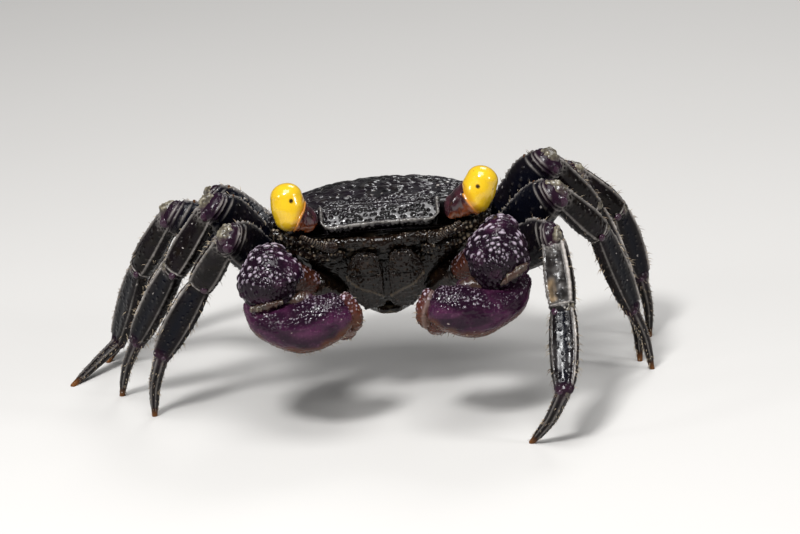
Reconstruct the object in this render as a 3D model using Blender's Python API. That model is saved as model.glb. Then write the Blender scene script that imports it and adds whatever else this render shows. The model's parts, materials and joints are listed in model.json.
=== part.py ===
"""A vampire crab (Geosesarma), life size, as a still museum model in the pose of the photograph.

Lengths are in millimetres until finish() turns every mesh into metres.
The crab faces -Y. Its left is +X. The feet stand on z = 0.
The body is drawn level and symmetrical in its own frame, then pitched and rolled by BODY.
Each leg starts at its root on the body and is drawn from the angles of its segments.
"""

import math

import bmesh
import bpy
from mathutils import Matrix, Vector

MM = 0.001
GAP = 0.3  # between one piece and the next
AROUND = 12  # points round a leg
UP = Vector((0, 0, 1))

# Stance: the middle of the lower edge of the front is the point the body turns about.
PIVOT = Vector((0, -7.1, -1.0))
PIVOT_HEIGHT = 14.3
PIVOT_PLACE = Vector((1.9, -5.2, PIVOT_HEIGHT))
PITCH = math.radians(10)  # nose up
ROLL = math.radians(2.5)  # left side up
BODY = (
    Matrix.Translation(PIVOT_PLACE)
    @ Matrix.Rotation(-ROLL, 4, "Y")
    @ Matrix.Rotation(-PITCH, 4, "X")
    @ Matrix.Translation(-PIVOT)
)

# Carapace, in the body's frame: half widths at the rim along y, and the height of the crown
RIM = [(-6.1, 7.45), (-5.5, 7.75), (-4.8, 7.95), (-3.4, 7.95), (-1.5, 8.05), (1.0, 7.95)]
RIM += [(3.5, 7.55), (5.2, 6.8), (6.4, 5.75), (7.0, 4.6), (7.2, 3.8)]
BACK_STATIONS = [-6.1, -5.75, -5.2, -4.6, -3.8, -3.0, -2.0, -1.0, 0.0]
BACK_STATIONS += [1.2, 2.4, 3.5, 4.4, 5.2, 5.9, 6.4, 6.8, 7.05, 7.2]
CROWN = [(-6.1, 0.95), (-5.0, 1.3), (-2.5, 1.75), (0.5, 1.85), (3.5, 1.55), (5.5, 1.0), (7.2, 0.25)]
RIM_HEIGHT = [(-6.1, 0.45), (-4.5, 0.2), (0.0, 0.0), (7.2, -0.2)]
SHELL_FLOOR = -1.0
TEETH = [  # outer orbital tooth and the tooth behind it: place of the tip, and of its root
    ((7.75, -6.5, 0.05), (7.05, -5.4, 0.05)),
    ((8.05, -5.0, 0.0), (7.3, -4.1, 0.0)),
]

# Leg segments: length of merus with ischium, carpus, propodus and dactylus, for each pair
LENGTHS = {
    2: (9.8, 5.1, 6.3, 5.2),
    3: (11.1, 5.7, 7.5, 5.4),
    4: (11.2, 5.9, 7.6, 5.6),
    5: (11.0, 4.9, 5.9, 5.0),
}
ROOTS = {2: (6.1, -0.9, -5.5), 3: (6.1, 1.2, -5.7), 4: (5.9, 3.1, -5.4), 5: (4.8, 4.9, -5.0)}
# Pitch above level and sweep towards the front, in degrees. The last pitch is the one that meets the floor.
POSES = {
    ("right", 2): ((37, 50), (-52, -43), (-59, -8), -48),
    ("right", 3): ((45, 37), (-57, -12), (-56, -38), -50),
    ("right", 4): ((29, -1), (-54, -37), (-61, -51), 50),
    ("right", 5): ((21, -38), (-57, -21), (-54, 8), 40),
    ("left", 2): ((26, 48), (-55, 84), (-50, 94), -147),
    ("left", 3): ((41, 42), (-43, -40), (-65, -40), -38),
    ("left", 4): ((50, 30), (-49, -37), (-68, -25), -16),
    ("left", 5): ((30, -7), (-45, -21), (-71, -27), -41),
}
# Sweep of the plane that the broad faces of the lower segments lie in, where it isn't the leg's own
BROAD_PLANE = {("left", 2): 15}
# Half sizes towards the back of the leg, towards its belly and through it, from start to end
MERUS = [(0.8, 0.75, 0.6), (1.0, 1.0, 0.75), (1.4, 1.3, 0.85)]
MERUS += [(1.7, 1.45, 0.85), (1.75, 1.4, 0.85), (1.2, 1.1, 0.85)]
CARPUS = [(0.8, 0.75, 0.7), (1.0, 0.95, 0.8), (1.1, 1.05, 0.85), (0.95, 0.9, 0.75)]
PROPODUS = [(0.85, 0.8, 0.7), (1.1, 1.0, 0.7), (1.05, 0.95, 0.62), (0.7, 0.65, 0.5)]
DACTYLUS = [(0.5, 0.48, 0.45), (0.45, 0.42, 0.4), (0.34, 0.32, 0.3), (0.2, 0.2, 0.2)]
SPINE_PLACE = 0.84  # along the merus, on its upper edge
SPINE_LENGTH = 1.1
SEGMENTS = {"merus": MERUS, "carpus": CARPUS, "propodus": PROPODUS, "dactylus": DACTYLUS}
COXA_REACH = 1.2  # from the root to the face that the merus starts from
COXA_SIZES = [(0.9, 0.9, 0.8), (1.05, 1.0, 0.8), (0.85, 0.85, 0.65)]
STUB_DEPTH = 1.6  # from the root into the body
STUB_SPARE = 0.2  # past the face, before the stub is cut there
SIDES = {"left": 1, "right": -1}


def point_on(values, t):
    """The value at t, from 0 to 1, on a smooth line through evenly spaced values."""
    values = [Vector(v) for v in values]
    where = min(max(t, 0.0), 1.0) * (len(values) - 1)
    i = min(int(where), len(values) - 2)
    f = where - i
    a, b, c, d = (values[min(max(k, 0), len(values) - 1)] for k in range(i - 1, i + 3))
    return b + 0.5 * f * (c - a + f * (2 * a - 5 * b + 4 * c - d + f * (3 * (b - c) + d - a)))


def between(table, x):
    """The value at x in a table of (x, value), straight from one entry to the next."""
    for (x0, v0), (x1, v1) in zip(table, table[1:]):
        if x <= x1:
            f = max((x - x0) / (x1 - x0), 0.0)
            return v0 + f * (v1 - v0)
    return table[-1][1]


def superellipse(angle, plus, minus, side, power):
    c, s = math.cos(angle), math.sin(angle)
    across = math.copysign(abs(c) ** (2 / power), c) * side
    upward = math.copysign(abs(s) ** (2 / power), s) * (plus if s > 0 else minus)
    return across, upward


def add_ring(bm, centre, along, up, size, around, power):
    """One closed ring of vertices round centre. size holds the half sizes up, down and sideways."""
    along = along.normalized()
    side = along.cross(up).normalized()
    top = side.cross(along)
    ring = []
    for i in range(around):
        across, upward = superellipse(2 * math.pi * i / around, size[0], size[1], size[2], power)
        ring.append(bm.verts.new(centre + across * side + upward * top))
    return ring


def skin(bm, rings):
    """Joins rings of equal length into one closed body, with a fan over each end.

    The quads of a bent tube aren't flat, so they are split before any Boolean meets them.
    """
    count = len(rings[0])
    for a, b in zip(rings, rings[1:]):
        for i in range(count):
            j = (i + 1) % count
            bm.faces.new((a[i], a[j], b[j], b[i]))
    for ring, turned in ((rings[0], True), (rings[-1], False)):
        middle = sum((v.co for v in ring), Vector()) / count
        tip = bm.verts.new(middle)
        for i in range(count):
            j = (i + 1) % count
            bm.faces.new((ring[j], ring[i], tip) if turned else (ring[i], ring[j], tip))
    bmesh.ops.triangulate(bm, faces=bm.faces[:])
    bmesh.ops.recalc_face_normals(bm, faces=bm.faces[:])


def tube(path, sizes, up, steps, around=AROUND, power=2.0, ends=(0.9, 0.9)):
    """A closed body along a smooth path. ends: how far the rounding reaches past each end, in half sizes."""
    bm = bmesh.new()
    rings = []
    turn = 3
    last = steps - 1

    def ring(t, shift, scale):
        centre = point_on(path, t)
        along = point_on(path, min(t + 0.02, 1.0)) - point_on(path, max(t - 0.02, 0.0))
        along.normalize()
        size = point_on(sizes, t)
        reach = shift * 0.5 * (size[0] + size[1])
        rings.append(add_ring(bm, centre + along * reach, along, up, size * scale, around, power))

    for k in range(turn, 0, -1):
        angle = 0.5 * math.pi * k / (turn + 0.35)
        if ends[0]:
            ring(0.0, -ends[0] * math.sin(angle), math.cos(angle))
    for i in range(steps):
        ring(i / last, 0.0, 1.0)
    for k in range(1, turn + 1):
        angle = 0.5 * math.pi * k / (turn + 0.35)
        if ends[1]:
            ring(1.0, ends[1] * math.sin(angle), math.cos(angle))
    skin(bm, rings)
    return bm


def cut(bm, point, normal):
    """Takes away all that lies past the plane, on the side the normal points to, and closes the cut."""
    geometry = bm.verts[:] + bm.edges[:] + bm.faces[:]
    made = bmesh.ops.bisect_plane(
        bm, geom=geometry, plane_co=point, plane_no=normal, clear_outer=True
    )
    edges = [e for e in made["geom_cut"] if isinstance(e, bmesh.types.BMEdge)]
    if edges:
        bmesh.ops.edgeloop_fill(bm, edges=edges)
        bmesh.ops.recalc_face_normals(bm, faces=bm.faces[:])
    return bm


def material(name, colour, roughness, metallic=0.0):
    made = bpy.data.materials.new(name)
    made.use_nodes = True
    shader = made.node_tree.nodes["Principled BSDF"]
    shader.inputs["Base Color"].default_value = (*colour, 1)
    shader.inputs["Roughness"].default_value = roughness
    shader.inputs["Metallic"].default_value = metallic
    made.diffuse_color = (*colour, 1)
    return made


def new_object(name, bm, collection):
    mesh = bpy.data.meshes.new(name)
    bm.to_mesh(mesh)
    bm.free()
    made = bpy.data.objects.new(name, mesh)
    collection.objects.link(made)
    return made


class Model:
    """The collections the model is built in, and its materials."""

    def __init__(self):
        for old in list(bpy.data.objects):
            bpy.data.objects.remove(old)
        self.parts = self.collection("vampire_crab")
        self.cutters = self.collection("cutters")
        self.cutters.hide_render = True
        self.materials = {}

    def collection(self, name):
        made = bpy.data.collections.new(name)
        bpy.context.scene.collection.children.link(made)
        return made

    def slot(self, name, colour, roughness):
        self.materials[name] = material(name, colour, roughness)

    def add(self, name, bm, slot):
        made = new_object(name, bm, self.parts)
        made.data.materials.append(self.materials[slot])
        return made

    def helper(self, name, bm):
        made = new_object(name, bm, self.cutters)
        made.hide_render = True
        made.display_type = "WIRE"
        return made

    def joined(self, name, pieces, slot):
        """One node from closed meshes that overlap each other, by a single union of them all."""
        first, *others = pieces
        made = self.add(name, first, slot)
        group = self.collection(name + "_pieces")
        for i, piece in enumerate(others):
            new_object(f"{name}_piece_{i}", piece, group)
        self.boolean(made, "UNION", group)
        for old in list(group.objects):
            bpy.data.objects.remove(old)
        bpy.data.collections.remove(group)
        return made

    def hollow(self, made, name, bm):
        """Takes the body of bm out of a node."""
        self.helper(name, bm)
        group = self.collection(name + "_cut")
        group.objects.link(bpy.data.objects[name])
        self.boolean(made, "DIFFERENCE", group)
        bpy.data.collections.remove(group)
        bpy.data.objects.remove(bpy.data.objects[name])

    def boolean(self, made, operation, group):
        change = made.modifiers.new(operation.lower(), "BOOLEAN")
        change.operation = operation
        change.operand_type = "COLLECTION"
        change.collection = group
        change.solver = "EXACT"
        bpy.context.view_layer.update()
        graph = bpy.context.evaluated_depsgraph_get()
        mesh = bpy.data.meshes.new_from_object(made.evaluated_get(graph))
        made.modifiers.remove(change)
        old, made.data = made.data, mesh
        bpy.data.meshes.remove(old)
        keep_largest(made)


def keep_largest(made):
    """Leaves only the largest closed surface of a mesh."""
    bm = bmesh.new()
    bm.from_mesh(made.data)
    left = set(bm.faces)
    bodies = []
    while left:
        body, edge = set(), [next(iter(left))]
        while edge:
            face = edge.pop()
            if face in body:
                continue
            body.add(face)
            edge += [f for e in face.edges for f in e.link_faces if f not in body]
        left -= body
        bodies.append(body)
    bodies.sort(key=lambda body: sum(f.calc_area() for f in body))
    small = [f for body in bodies[:-1] for f in body]
    bmesh.ops.delete(bm, geom=small, context="FACES")
    bm.to_mesh(made.data)
    bm.free()


def shell_height(x, y):
    """Height of the carapace's back over the rim plane, in the body's frame."""
    half = between(RIM, y)
    crown = between(CROWN, y)
    rim = between(RIM_HEIGHT, y)
    share = min(abs(x) / half, 1.0)
    return rim + (crown - rim) * (1 - share ** 2.6)


def carapace_body():
    bm = bmesh.new()
    across = 14
    rings = []
    for y in BACK_STATIONS:
        half = between(RIM, y)
        ring = []
        for i in range(across + 1):
            x = -half * math.cos(math.pi * i / across)
            ring.append(Vector((x, y, shell_height(x, y))))
        ring.append(Vector((half - 0.05, y, -0.5)))
        for f in (1.0, 0.5, 0.0, -0.5, -1.0):
            ring.append(Vector((f * (half - 0.3), y, SHELL_FLOOR)))
        ring.append(Vector((0.05 - half, y, -0.5)))
        rings.append([bm.verts.new(p) for p in ring])
    skin(bm, rings)
    return bm


def front_plate():
    """The front between the eyes: a raised ridge in four lobes, then a plate that slopes down to the edge."""
    bm = bmesh.new()
    across = 16
    profile = [  # y, height of the middle, half width
        (-7.25, -0.62, 4.05),
        (-7.3, -0.35, 4.25),
        (-7.1, 0.05, 4.3),
        (-6.75, 0.45, 4.3),
        (-6.4, 0.85, 4.3),
        (-6.15, 1.02, 4.3),
        (-5.8, 1.08, 4.2),
        (-5.2, 1.0, 3.9),
    ]
    rings = []
    for k, (y, height, half) in enumerate(profile):
        ring = []
        lobes = 0.1 if 4 <= k <= 6 else 0.0
        for i in range(across + 1):
            f = -1 + 2 * i / across
            dip = 0.12 * math.exp(-((f / 0.18) ** 2)) if k < 5 else 0.0
            z = height - 0.14 * f * f + lobes * abs(math.sin(2 * math.pi * (f + 1)))
            ring.append(Vector((f * half, y + dip, z)))
        for f in (1.0, 0.5, 0.0, -0.5, -1.0):
            ring.append(Vector((f * (half - 0.05), max(y, -7.15), SHELL_FLOOR)))
        rings.append([bm.verts.new(p) for p in ring])
    skin(bm, rings)
    return bm


def tooth(tip, root, side):
    tip = Vector((side * tip[0], tip[1], tip[2]))
    root = Vector((side * root[0], root[1], root[2]))
    sizes = [(0.45, 0.5, 0.75), (0.3, 0.35, 0.45), (0.12, 0.14, 0.14)]
    return tube([root, (root + tip) / 2, tip], sizes, UP, 4, around=8, ends=(0.5, 0.6))


def carapace(model):
    pieces = [carapace_body(), front_plate()]
    pieces += [tooth(tip, root, side) for tip, root in TEETH for side in SIDES.values()]
    made = model.joined("carapace", pieces, "shell")
    made.data.transform(BODY)


def underbody_shell():
    """The walls and the floor of the body below the carapace, in the body's frame."""
    bm = bmesh.new()
    stations = [  # y at the top, lean towards the back per mm down, half width above, half width below, depth
        (-6.0, 0.42, 6.4, 2.6, -4.6),
        (-5.5, 0.36, 7.0, 3.6, -5.6),
        (-4.2, 0.22, 7.25, 5.0, -6.5),
        (-2.0, 0.08, 7.3, 5.6, -6.95),
        (0.5, 0.0, 7.2, 5.7, -7.0),
        (3.0, -0.06, 6.85, 5.4, -6.9),
        (4.8, -0.14, 6.1, 4.6, -6.6),
        (6.0, -0.24, 5.0, 3.6, -6.0),
        (6.6, -0.3, 3.6, 2.6, -5.2),
    ]
    top = SHELL_FLOOR - GAP
    rings = []
    for y, lean, wide, narrow, deep in stations:
        corners = [(wide, top), (wide - 0.35, -2.2), (0.45 * wide + 0.55 * narrow, -3.7), (narrow, -4.9)]
        corners += [(0.82 * narrow, 0.72 * deep - 0.28 * 5.4), (0.5 * narrow, deep), (0.0, deep - 0.08)]
        corners = [(x, max(z, deep - 0.08)) for x, z in corners]
        ring = [Vector((x, y + lean * (top - z), z)) for x, z in corners]
        ring += [Vector((-p.x, p.y, p.z)) for p in reversed(ring[:-1])]
        ring += [Vector((f * wide, y, top)) for f in (-0.5, 0.0, 0.5)]
        rings.append([bm.verts.new(p) for p in ring])
    skin(bm, rings)
    return bm


def leg_root(side, pair):
    x, y, z = ROOTS[pair]
    return BODY @ Vector((side * x, y, z))


def heading(side, pitch, sweep):
    pitch, sweep = math.radians(pitch), math.radians(sweep)
    flat = math.cos(pitch)
    return Vector((side * flat * math.cos(sweep), -flat * math.sin(sweep), math.sin(pitch)))


def leg_joints(side, pair):
    """The ends of the four segments, and the direction and the plane of each."""
    name = "left" if side > 0 else "right"
    *angled, last_sweep = POSES[(name, pair)]
    lengths = LENGTHS[pair]
    joints = [leg_root(side, pair)]
    for (pitch, sweep), length in zip(angled, lengths):
        joints.append(joints[-1] + length * heading(side, pitch, sweep))
    drop = joints[-1].z / lengths[3]
    joints.append(joints[-1] + lengths[3] * heading(side, -math.degrees(math.asin(drop)), last_sweep))
    sweeps = [angled[0][1]] + [BROAD_PLANE.get((name, pair), angled[2][1])] * 3
    planes = [heading(side, 0, sweep).cross(UP) for sweep in sweeps]
    return joints, planes


def leg(model, side, pair):
    joints, planes = leg_joints(side, pair)
    where = f"leg{pair}_{'left' if side > 0 else 'right'}"
    ways = [(b - a).normalized() for a, b in zip(joints, joints[1:])]
    for k, (name, sizes) in enumerate(SEGMENTS.items()):
        start, end, way = joints[k], joints[k + 1], ways[k]
        up = planes[k].cross(way)
        sizes = [Vector(s) for s in sizes]
        if name == "merus":
            start = start + way * (COXA_REACH + GAP)
        path = [start, (start + end) / 2, end]
        if name == "dactylus":
            path[1] = path[1] + 0.25 * up
        steps = {"merus": 8, "carpus": 5, "propodus": 5, "dactylus": 6}[name]
        piece = tube(path, sizes, up, steps, ends=(0.0 if name == "merus" else 0.8, 0.8))
        if k:
            turn = (ways[k - 1] + way).normalized()
            cut(piece, start + turn * GAP / 2, -turn)
        if k < 3:
            turn = (way + ways[k + 1]).normalized()
            cut(piece, end - turn * GAP / 2, turn)
        else:
            cut(piece, Vector((0, 0, 0)), -UP)
        if name == "merus":
            model.joined(f"{where}_{name}", [piece, spine(start, end, up)], "leg")
        else:
            model.add(f"{where}_{name}", piece, "leg")


def spine(start, end, up):
    """The sharp tooth near the far end of a merus, on its upper edge."""
    way = (end - start).normalized()
    root = start.lerp(end, SPINE_PLACE) + 0.9 * up
    tip = root + SPINE_LENGTH * (0.75 * up + 0.55 * way)
    sizes = [(0.45, 0.45, 0.3), (0.3, 0.3, 0.22), (0.1, 0.1, 0.1)]
    return tube([root, (root + tip) / 2, tip], sizes, way, 3, around=6, ends=(0.0, 0.5))


def coxa(side, pair):
    """The stub on the body that a leg starts from."""
    joints, planes = leg_joints(side, pair)
    way = (joints[1] - joints[0]).normalized()
    up = planes[0].cross(way)
    root = joints[0]
    end = root + way * COXA_REACH
    path = [root - way * STUB_DEPTH, root, end + way * STUB_SPARE]
    return cut(tube(path, COXA_SIZES, up, 4), end, way)


# Claws, in a frame at the middle of the wrist: x outwards, y backwards, z up
WRIST = {"left": Vector((8.1, -2.8, -1.05)), "right": Vector((-8.0, -2.8, -1.65))}
CLAW_TURN = {"left": 0.0, "right": 7.0}  # degrees, finger end raised
ARM_ROOT = Vector((4.5, -4.2, -5.1))
ARM_END = Vector((-0.2, 1.9, -0.8))
WRIST_PATH = {
    "left": [(0.45, 0.3, 1.75), (0.2, 0.0, 0.5), (-0.1, -0.3, -0.9), (-0.8, -0.5, -2.4)],
    "right": [(0.0, 0.3, 1.1), (0.0, 0.0, 0.0), (0.05, -0.3, -1.1), (-0.25, -0.5, -2.1)],
}
WRIST_SIZES = {
    "left": [(1.2, 1.2, 1.1), (1.75, 1.9, 2.05), (1.8, 1.75, 2.25), (0.8, 0.8, 0.95)],
    "right": [(1.2, 1.2, 1.25), (1.75, 1.9, 2.15), (1.8, 1.75, 2.3), (0.9, 0.9, 1.3)],
}
PALM_PATH = [(1.35, 0.1, -2.1), (0.5, -0.5, -3.6), (-1.5, -1.2, -4.2), (-3.2, -1.4, -3.9), (-4.3, -1.2, -3.5)]
PALM_SIZES = [(0.9, 0.9, 1.2), (1.35, 1.4, 1.5), (1.85, 1.85, 1.7), (1.85, 1.8, 1.6), (1.45, 1.5, 1.35)]
PALM_DEPTH = {"left": 0.87, "right": 1.0}  # share of the half size below the path
FIXED_PATH = [(-3.6, -1.2, -4.6), (-4.4, -0.4, -5.3), (-4.6, 0.8, -5.8), (-4.4, 2.0, -6.0)]
FIXED_SIZES = [(0.85, 0.8, 0.9), (0.65, 0.6, 0.7), (0.5, 0.45, 0.5), (0.25, 0.25, 0.25)]
FINGER_PATH = [(-4.9, -1.0, -2.8), (-5.3, -0.95, -3.8), (-5.3, -0.45, -4.8), (-4.9, 0.45, -5.6)]
FINGER_SIZES = [(0.55, 0.55, 0.55), (0.65, 0.6, 0.65), (0.55, 0.5, 0.55), (0.25, 0.25, 0.25)]
ARM_SIZES = [(0.8, 0.8, 0.8), (1.05, 1.0, 1.0), (1.25, 1.2, 1.2), (1.2, 1.1, 1.2)]
ARM_STUB_SIZES = [(1.1, 1.1, 1.1), (1.15, 1.1, 1.1), (1.0, 0.95, 0.95)]


def claw_points(side, path):
    """Points of a claw's path, in the world."""
    name = "left" if side > 0 else "right"
    turn = Matrix.Rotation(math.radians(CLAW_TURN[name]), 3, "Y")
    centre = PIVOT_PLACE + WRIST[name]
    return [centre + Vector((side * p.x, p.y, p.z)) for p in (turn @ Vector(q) for q in path)]


def wider(sizes, by):
    return [Vector(s) + Vector((by, by, by)) for s in sizes]


def wrist(side, grow=0.0):
    name = "left" if side > 0 else "right"
    path = claw_points(side, WRIST_PATH[name])
    return tube(path, wider(WRIST_SIZES[name], grow), Vector((0, -1, 0)), 8, around=16, ends=(0.55, 0.5))


def palm_pieces(side):
    up = Vector((side * 0.2, 0, 1))
    depth = PALM_DEPTH["left" if side > 0 else "right"]
    sizes = [(above, below * depth, across) for above, below, across in PALM_SIZES]
    palm = tube(claw_points(side, PALM_PATH), sizes, up, 9, around=14, power=2.2, ends=(0.6, 0.5))
    fixed = tube(claw_points(side, FIXED_PATH), FIXED_SIZES, up, 6, around=10, ends=(0.8, 0.8))
    return [palm, fixed]


def finger(side, grow=0.0):
    sizes = wider(FINGER_SIZES, grow)
    outwards = Vector((side, 0.3, 0))
    return tube(claw_points(side, FINGER_PATH), sizes, outwards, 6, around=10, ends=(0.8, 0.8))


def arm(side):
    name = "left" if side > 0 else "right"
    root = BODY @ Vector((side * ARM_ROOT.x, ARM_ROOT.y, ARM_ROOT.z))
    end = PIVOT_PLACE + WRIST[name] + Vector((side * ARM_END.x, ARM_END.y, ARM_END.z))
    way = (end - root).normalized()
    return root, end, way


def claw(model, side):
    name = "left" if side > 0 else "right"
    root, end, way = arm(side)
    start = root + way * (COXA_REACH + GAP)
    merus = tube([start, (start + end) / 2, end], ARM_SIZES, UP, 7, around=14, ends=(0.0, 0.4))
    made = model.add(f"claw_merus_{name}", merus, "claw")
    model.hollow(made, "wrist_room", wrist(side, GAP))
    model.add(f"claw_carpus_{name}", wrist(side), "claw")
    palm = model.joined(f"claw_palm_{name}", palm_pieces(side), "claw")
    model.hollow(palm, "wrist_room", wrist(side, GAP))
    model.hollow(palm, "finger_room", finger(side, GAP))
    model.add(f"claw_finger_{name}", finger(side), "claw")


def arm_stub(side):
    root, end, way = arm(side)
    face = root + way * COXA_REACH
    path = [root - way * STUB_DEPTH, root, face + way * STUB_SPARE]
    return cut(tube(path, ARM_STUB_SIZES, UP, 4), face, way)


def underbody(model):
    shell = underbody_shell()
    shell.transform(BODY)
    pieces = [shell]
    for side in SIDES.values():
        pieces += [coxa(side, pair) for pair in ROOTS]
        pieces.append(arm_stub(side))
    model.joined("underbody", pieces, "underside")


def body_tube(path, sizes, up, steps, **more):
    bm = tube(path, sizes, up, steps, **more)
    bm.transform(BODY)
    return bm


def abdomen(model):
    """The tail, folded flat under the body."""
    path = [(0, 7.3, -1.8), (0, 7.35, -3.6), (0, 7.1, -5.4), (0, 5.8, -7.0)]
    path += [(0, 3.6, -7.65), (0, 1.2, -7.7), (0, -1.0, -7.65)]
    widths = [3.0, 2.9, 2.7, 2.5, 2.1, 1.5, 0.75]
    joint, middle = 0.22, 0.34  # half thickness at the joints of the tail's seven lengths, and between them
    sizes = []
    for k, width in enumerate(widths):
        sizes.append((joint, joint, width))
        if width != widths[-1]:
            sizes.append((middle, middle, 0.51 * (width + widths[k + 1])))
    tail = body_tube(path, sizes, Vector((0, 0.35, -1)), len(sizes), around=16, power=2.6)
    model.add("abdomen", tail, "underside")


def face(model):
    """The plate over the mouth, between the two orbits."""
    side_path = [(3.9, -6.5, -1.75), (2.0, -6.75, -1.85)]
    path = [(-x, y, z) for x, y, z in side_path] + [(0, -6.8, -1.9)] + side_path[::-1]
    side_sizes = [(0.35, 0.35, 0.3), (0.42, 0.42, 0.35)]
    sizes = side_sizes + [(0.42, 0.5, 0.38)] + side_sizes[::-1]
    model.add("epistome", body_tube(path, sizes, UP, 11, around=10), "underside")


def mouth(model, side, name):
    """An outer mouthpart: a broad plate hinged below, that closes over the mouth."""
    path = [(side * 1.0, -4.3, -6.6), (side * 1.45, -5.45, -5.3)]
    path += [(side * 1.5, -6.35, -3.9), (side * 1.25, -6.8, -2.85)]
    sizes = [(0.35, 0.35, 0.75), (0.4, 0.4, 1.15), (0.4, 0.4, 1.2), (0.32, 0.32, 0.8)]
    up = Vector((0, -0.8, -0.55))
    model.add(f"maxilliped_{name}", body_tube(path, sizes, up, 8, power=2.6), "underside")


STALK_ROOT = Vector((5.1, -7.0, -0.3))
STALK_SIZES = [(0.6, 0.6, 0.55), (0.85, 0.85, 0.9), (1.0, 1.0, 1.05)]
STALK_BEND = Vector((-0.2, 0, 0))  # the middle of the stalk lies this far off the straight line to the eye
STALK_END = 0.6  # along the line from the root to the middle of the eye
EYE_PLACE = {"left": Vector((7.2, -7.7, 1.35)), "right": Vector((6.4, -7.7, 1.35))}
EYE_LEAN = {"left": 26.0, "right": 6.0}  # degrees outwards
EYE_HALF = 0.75  # half the straight length of the eye, before its rounded ends
EYE_SIZES = [(1.2, 1.2, 1.15), (1.25, 1.25, 1.25), (1.15, 1.15, 1.15)]
EYE_ENDS = (0.85, 0.85)


def eye(side, name, grow=0.0):
    middle = EYE_PLACE[name]
    lean = math.radians(EYE_LEAN[name])
    along = EYE_HALF * Vector((math.sin(lean), 0, math.cos(lean)))
    path = [(side * p.x, p.y, p.z) for p in (middle - along, middle, middle + along)]
    return body_tube(path, wider(EYE_SIZES, grow), Vector((0, -1, 0)), 6, around=16, ends=EYE_ENDS)


def eyestalk(model, side, name):
    middle = STALK_ROOT.lerp(EYE_PLACE[name], STALK_END / 2) + STALK_BEND
    end = STALK_ROOT.lerp(EYE_PLACE[name], STALK_END)
    path = [(side * p.x, p.y, p.z) for p in (STALK_ROOT, middle, end)]
    stalk = body_tube(path, STALK_SIZES, Vector((0, -1, 0)), 5, around=12, ends=(0.4, 0.5))
    made = model.add(f"eyestalk_{name}", stalk, "stalk")
    model.hollow(made, "eye_room", eye(side, name, GAP))
    model.add(f"eye_{name}", eye(side, name), "eye")


def feelers(model, side, name):
    """The antenna beside the orbit, and the antennule folded under the front."""
    path = [(side * 3.6, -7.75, -1.8), (side * 4.0, -8.2, -1.7)]
    path += [(side * 4.7, -8.8, -1.3), (side * 5.6, -9.1, -0.7)]
    sizes = [(0.4, 0.4, 0.4), (0.32, 0.32, 0.32), (0.26, 0.26, 0.26), (0.18, 0.18, 0.18)]
    model.add(f"antenna_{name}", body_tube(path, sizes, UP, 7, around=8), "underside")
    path = [(side * 1.0, -7.65, -1.75), (side * 1.7, -7.75, -1.6), (side * 2.5, -7.65, -1.6)]
    sizes = [(0.28, 0.28, 0.25), (0.3, 0.3, 0.28), (0.25, 0.25, 0.25)]
    model.add(f"antennule_{name}", body_tube(path, sizes, UP, 5, around=8), "underside")


def finish():
    """Turns millimetres into metres."""
    scale = Matrix.Scale(MM, 4)
    for mesh in bpy.data.meshes:
        mesh.transform(scale)


def main():
    model = Model()
    model.slot("shell", (0.02, 0.016, 0.024), 0.35)
    model.slot("leg", (0.03, 0.024, 0.03), 0.4)
    model.slot("claw", (0.10, 0.03, 0.16), 0.35)
    model.slot("underside", (0.06, 0.045, 0.04), 0.5)
    model.slot("stalk", (0.12, 0.03, 0.05), 0.35)
    model.slot("eye", (0.9, 0.6, 0.02), 0.15)
    carapace(model)
    underbody(model)
    abdomen(model)
    face(model)
    for name, side in SIDES.items():
        mouth(model, side, name)
        eyestalk(model, side, name)
        feelers(model, side, name)
        claw(model, side)
        for pair in ROOTS:
            leg(model, side, pair)
    finish()


main()
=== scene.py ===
"""The looks of the vampire crab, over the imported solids.

Lengths are in millimetres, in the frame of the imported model. MM turns them into metres as objects,
lights and the camera are made.
The crab faces -Y, its left is +X, and the floor is z = 0.
A form is a Surface: closed rings of points along a part. It starts smooth, and then grains, ridges
and pits move its points along its normals. The body's own forms are drawn level and turned by BODY.
Where both sides are alike, places are the left side's, and mirrored() puts them on either.
"""

import json
import math
import bpy
import numpy as np
from mathutils import Matrix, Vector


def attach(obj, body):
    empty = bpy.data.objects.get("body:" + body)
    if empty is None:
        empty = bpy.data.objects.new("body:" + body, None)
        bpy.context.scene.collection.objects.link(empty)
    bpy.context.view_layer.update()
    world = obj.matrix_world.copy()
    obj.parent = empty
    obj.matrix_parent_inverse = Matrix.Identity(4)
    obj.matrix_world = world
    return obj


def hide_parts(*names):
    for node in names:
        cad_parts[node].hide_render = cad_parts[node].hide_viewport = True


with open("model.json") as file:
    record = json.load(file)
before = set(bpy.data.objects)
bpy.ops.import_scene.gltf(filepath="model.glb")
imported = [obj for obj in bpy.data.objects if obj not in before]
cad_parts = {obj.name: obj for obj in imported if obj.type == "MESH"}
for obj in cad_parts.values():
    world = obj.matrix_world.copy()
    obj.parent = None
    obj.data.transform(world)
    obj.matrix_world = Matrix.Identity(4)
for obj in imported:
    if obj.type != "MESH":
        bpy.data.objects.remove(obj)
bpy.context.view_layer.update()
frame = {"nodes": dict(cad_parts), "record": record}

MM = 0.001
UP = Vector((0, 0, 1))
FRONT = (0, -1, 0)
SIDES = {"left": 1, "right": -1}

# Stance, as in the solids
PIVOT = Vector((0, -7.1, -1.0))
PIVOT_HEIGHT = 14.3
PIVOT_PLACE = Vector((1.9, -5.2, PIVOT_HEIGHT))
PITCH = math.radians(10)
ROLL = math.radians(2.5)
BODY = (
    Matrix.Translation(PIVOT_PLACE)
    @ Matrix.Rotation(-ROLL, 4, "Y")
    @ Matrix.Rotation(-PITCH, 4, "X")
    @ Matrix.Translation(-PIVOT)
)

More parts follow.
